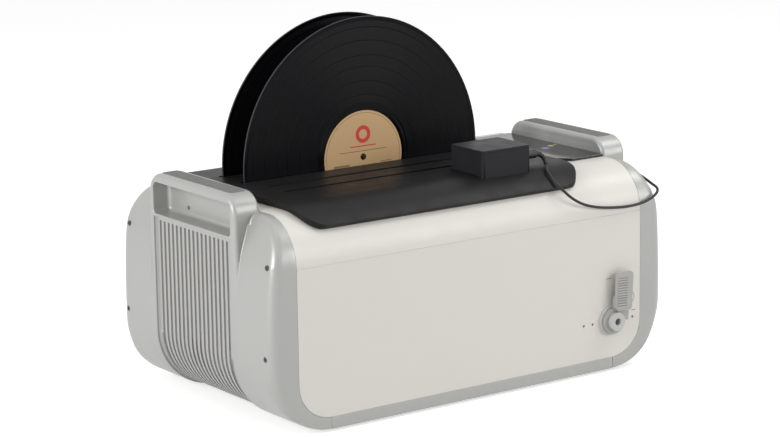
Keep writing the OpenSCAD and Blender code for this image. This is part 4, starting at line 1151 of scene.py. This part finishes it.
make_camera()
sheath = moulded("lead sheath", (0.010, 0.010, 0.011), 0.4, FINE_GRAIN, FINE_SCALE, 0.1, shine=0.3)
plug_black = moulded("plug moulding", (0.012, 0.012, 0.013), 0.4, 0.00003, FINE_SCALE, 0.1, shine=0.3)
lay_lead(sheath, plug_black)
make_room()
for lamp in LAMPS:
    add_lamp(*lamp)
make_floor()

shell = shell_plastic("cream shell")
silver = silver_paint("silver painted caps", (0.372, 0.373, 0.358))
patch = rubber("grip patch rubber", (0.2, 0.2, 0.19), 0.55)
dark_screw = moulded("darkened screws", (0.05, 0.045, 0.042), 0.4)
black = moulded("fine black moulding", (0.0155, 0.0155, 0.018), 0.45, 0.00005, 1200, 0.1, shine=0.13)
lid_black = moulded("satin black lid", (0.0075, 0.0073, 0.0075), 0.45, FINE_GRAIN, 1800, 0.1, shine=0.16)
steel = brushed("brushed steel", (0.56, 0.56, 0.57), 0.3, (1, 1, 40))
frame_grey = moulded("frame paint", (0.16, 0.17, 0.18), 0.45)
alloy = brushed("machined alloy", (0.66, 0.66, 0.67), 0.32, (30, 1, 1))
brass = brushed("turned brass", (0.55, 0.38, 0.16), 0.3, (1, 30, 1))
dark_rubber = rubber("black rubber", (0.012, 0.012, 0.0125), 0.65)
white = moulded("white moulding", (0.66, 0.66, 0.63), 0.4)
valve_grey = moulded("valve grey", (0.47, 0.475, 0.465), 0.36, FINE_GRAIN, FINE_SCALE, 0.02)
lever_grey = ribbed_grey("ribbed lever grey", (0.37, 0.365, 0.35))
glass = glass_with_painted_reflections("black control glass")
board = circuit_board("green board")
parts = moulded("dark components", (0.03, 0.03, 0.034), 0.4)
red = moulded("red rocker", (0.45, 0.02, 0.014), 0.3)

# The nodes that keep their solids, by finish
PLAIN = (
    (dark_rubber, ("feet", "tank_gasket", "heater_pad", "drive_belt", "drive_tyres", "idle_tyres")),
    (dark_screw, ("cap_screws",)),
    (frame_grey, ("chassis_frame", "roller_hangers")),
    (steel, ("tank", "gearmotor", "drive_shaft", "idle_shaft")),
    (alloy, ("transducers", "heat_sinks")),
    (white, ("drain_pipe", "valve_body")),
    (brass, ("valve_core", "motor_pulley", "shaft_bushes", "drive_pulley", "adapter_blades")),
    (board, ("generator_board", "display_board")),
    (parts, ("board_parts", "transformer")),
    (black, ("fan_frame", "fan_rotor", "mains_inlet", "rocker_frame", "dc_jack")),
    (red, ("power_rocker",)),
    (plug_black, ("dc_plug", "adapter_relief", "wall_adapter")),
    (shell, ("rear_panel",)),
    (patch, ("grip_patches",)),
)
for material, nodes in PLAIN:
    for node in nodes:
        dress(node, material)
for name, middle_y in zip(("front", "rear"), RECORD_YS):
    dress("record_" + name, record_vinyl(name + " record vinyl", middle_y))
    dress("record_" + name + "_label", label_paper(name + " label paper", middle_y))

for name, side in (("left", -1), ("right", 1)):
    formed_cap(name + "_end_cap", side, silver)
    formed_grip(name + "_handle_grip", side, silver)
lay_grip_nubs(patch)
pocket_screws(dark_screw)
pocket_corners(silver)
slot_shade_sheet(dark_rubber)
seam_tongues(shell)
softened("top_cover", ((0.0005, 2, every_edge),), shell)
panel_paint = marked_panel("marked front panel", (0.12, 0.12, 0.115))
softened("front_panel", ((0.0005, 2, every_edge),), panel_paint)
softened("bottom_tray", ((0.0006, 2, every_edge),), silver)
softened("control_glass", ((0.0006, 2, every_edge),), glass)
lid_shape = combined("INTERSECT", clean_copy("lid_cover"), lid_form())
softened("lid_cover", ((0.0009, 2, every_edge),), lid_black, shape=lid_shape)
softened("motor_box", ((0.0016, 3, upright_edge), (0.0004, 2, long_edge)), black)
softened("motor_box_cover", ((0.0012, 3, every_edge),), black)
softened("valve_bezel", ((0.0003, 2, every_edge),), valve_grey)
softened("drain_nozzle", ((0.0006, 2, every_edge),), valve_grey)
softened("valve_lever", ((0.0004, 1, long_edge),), lever_grey, angle=18)
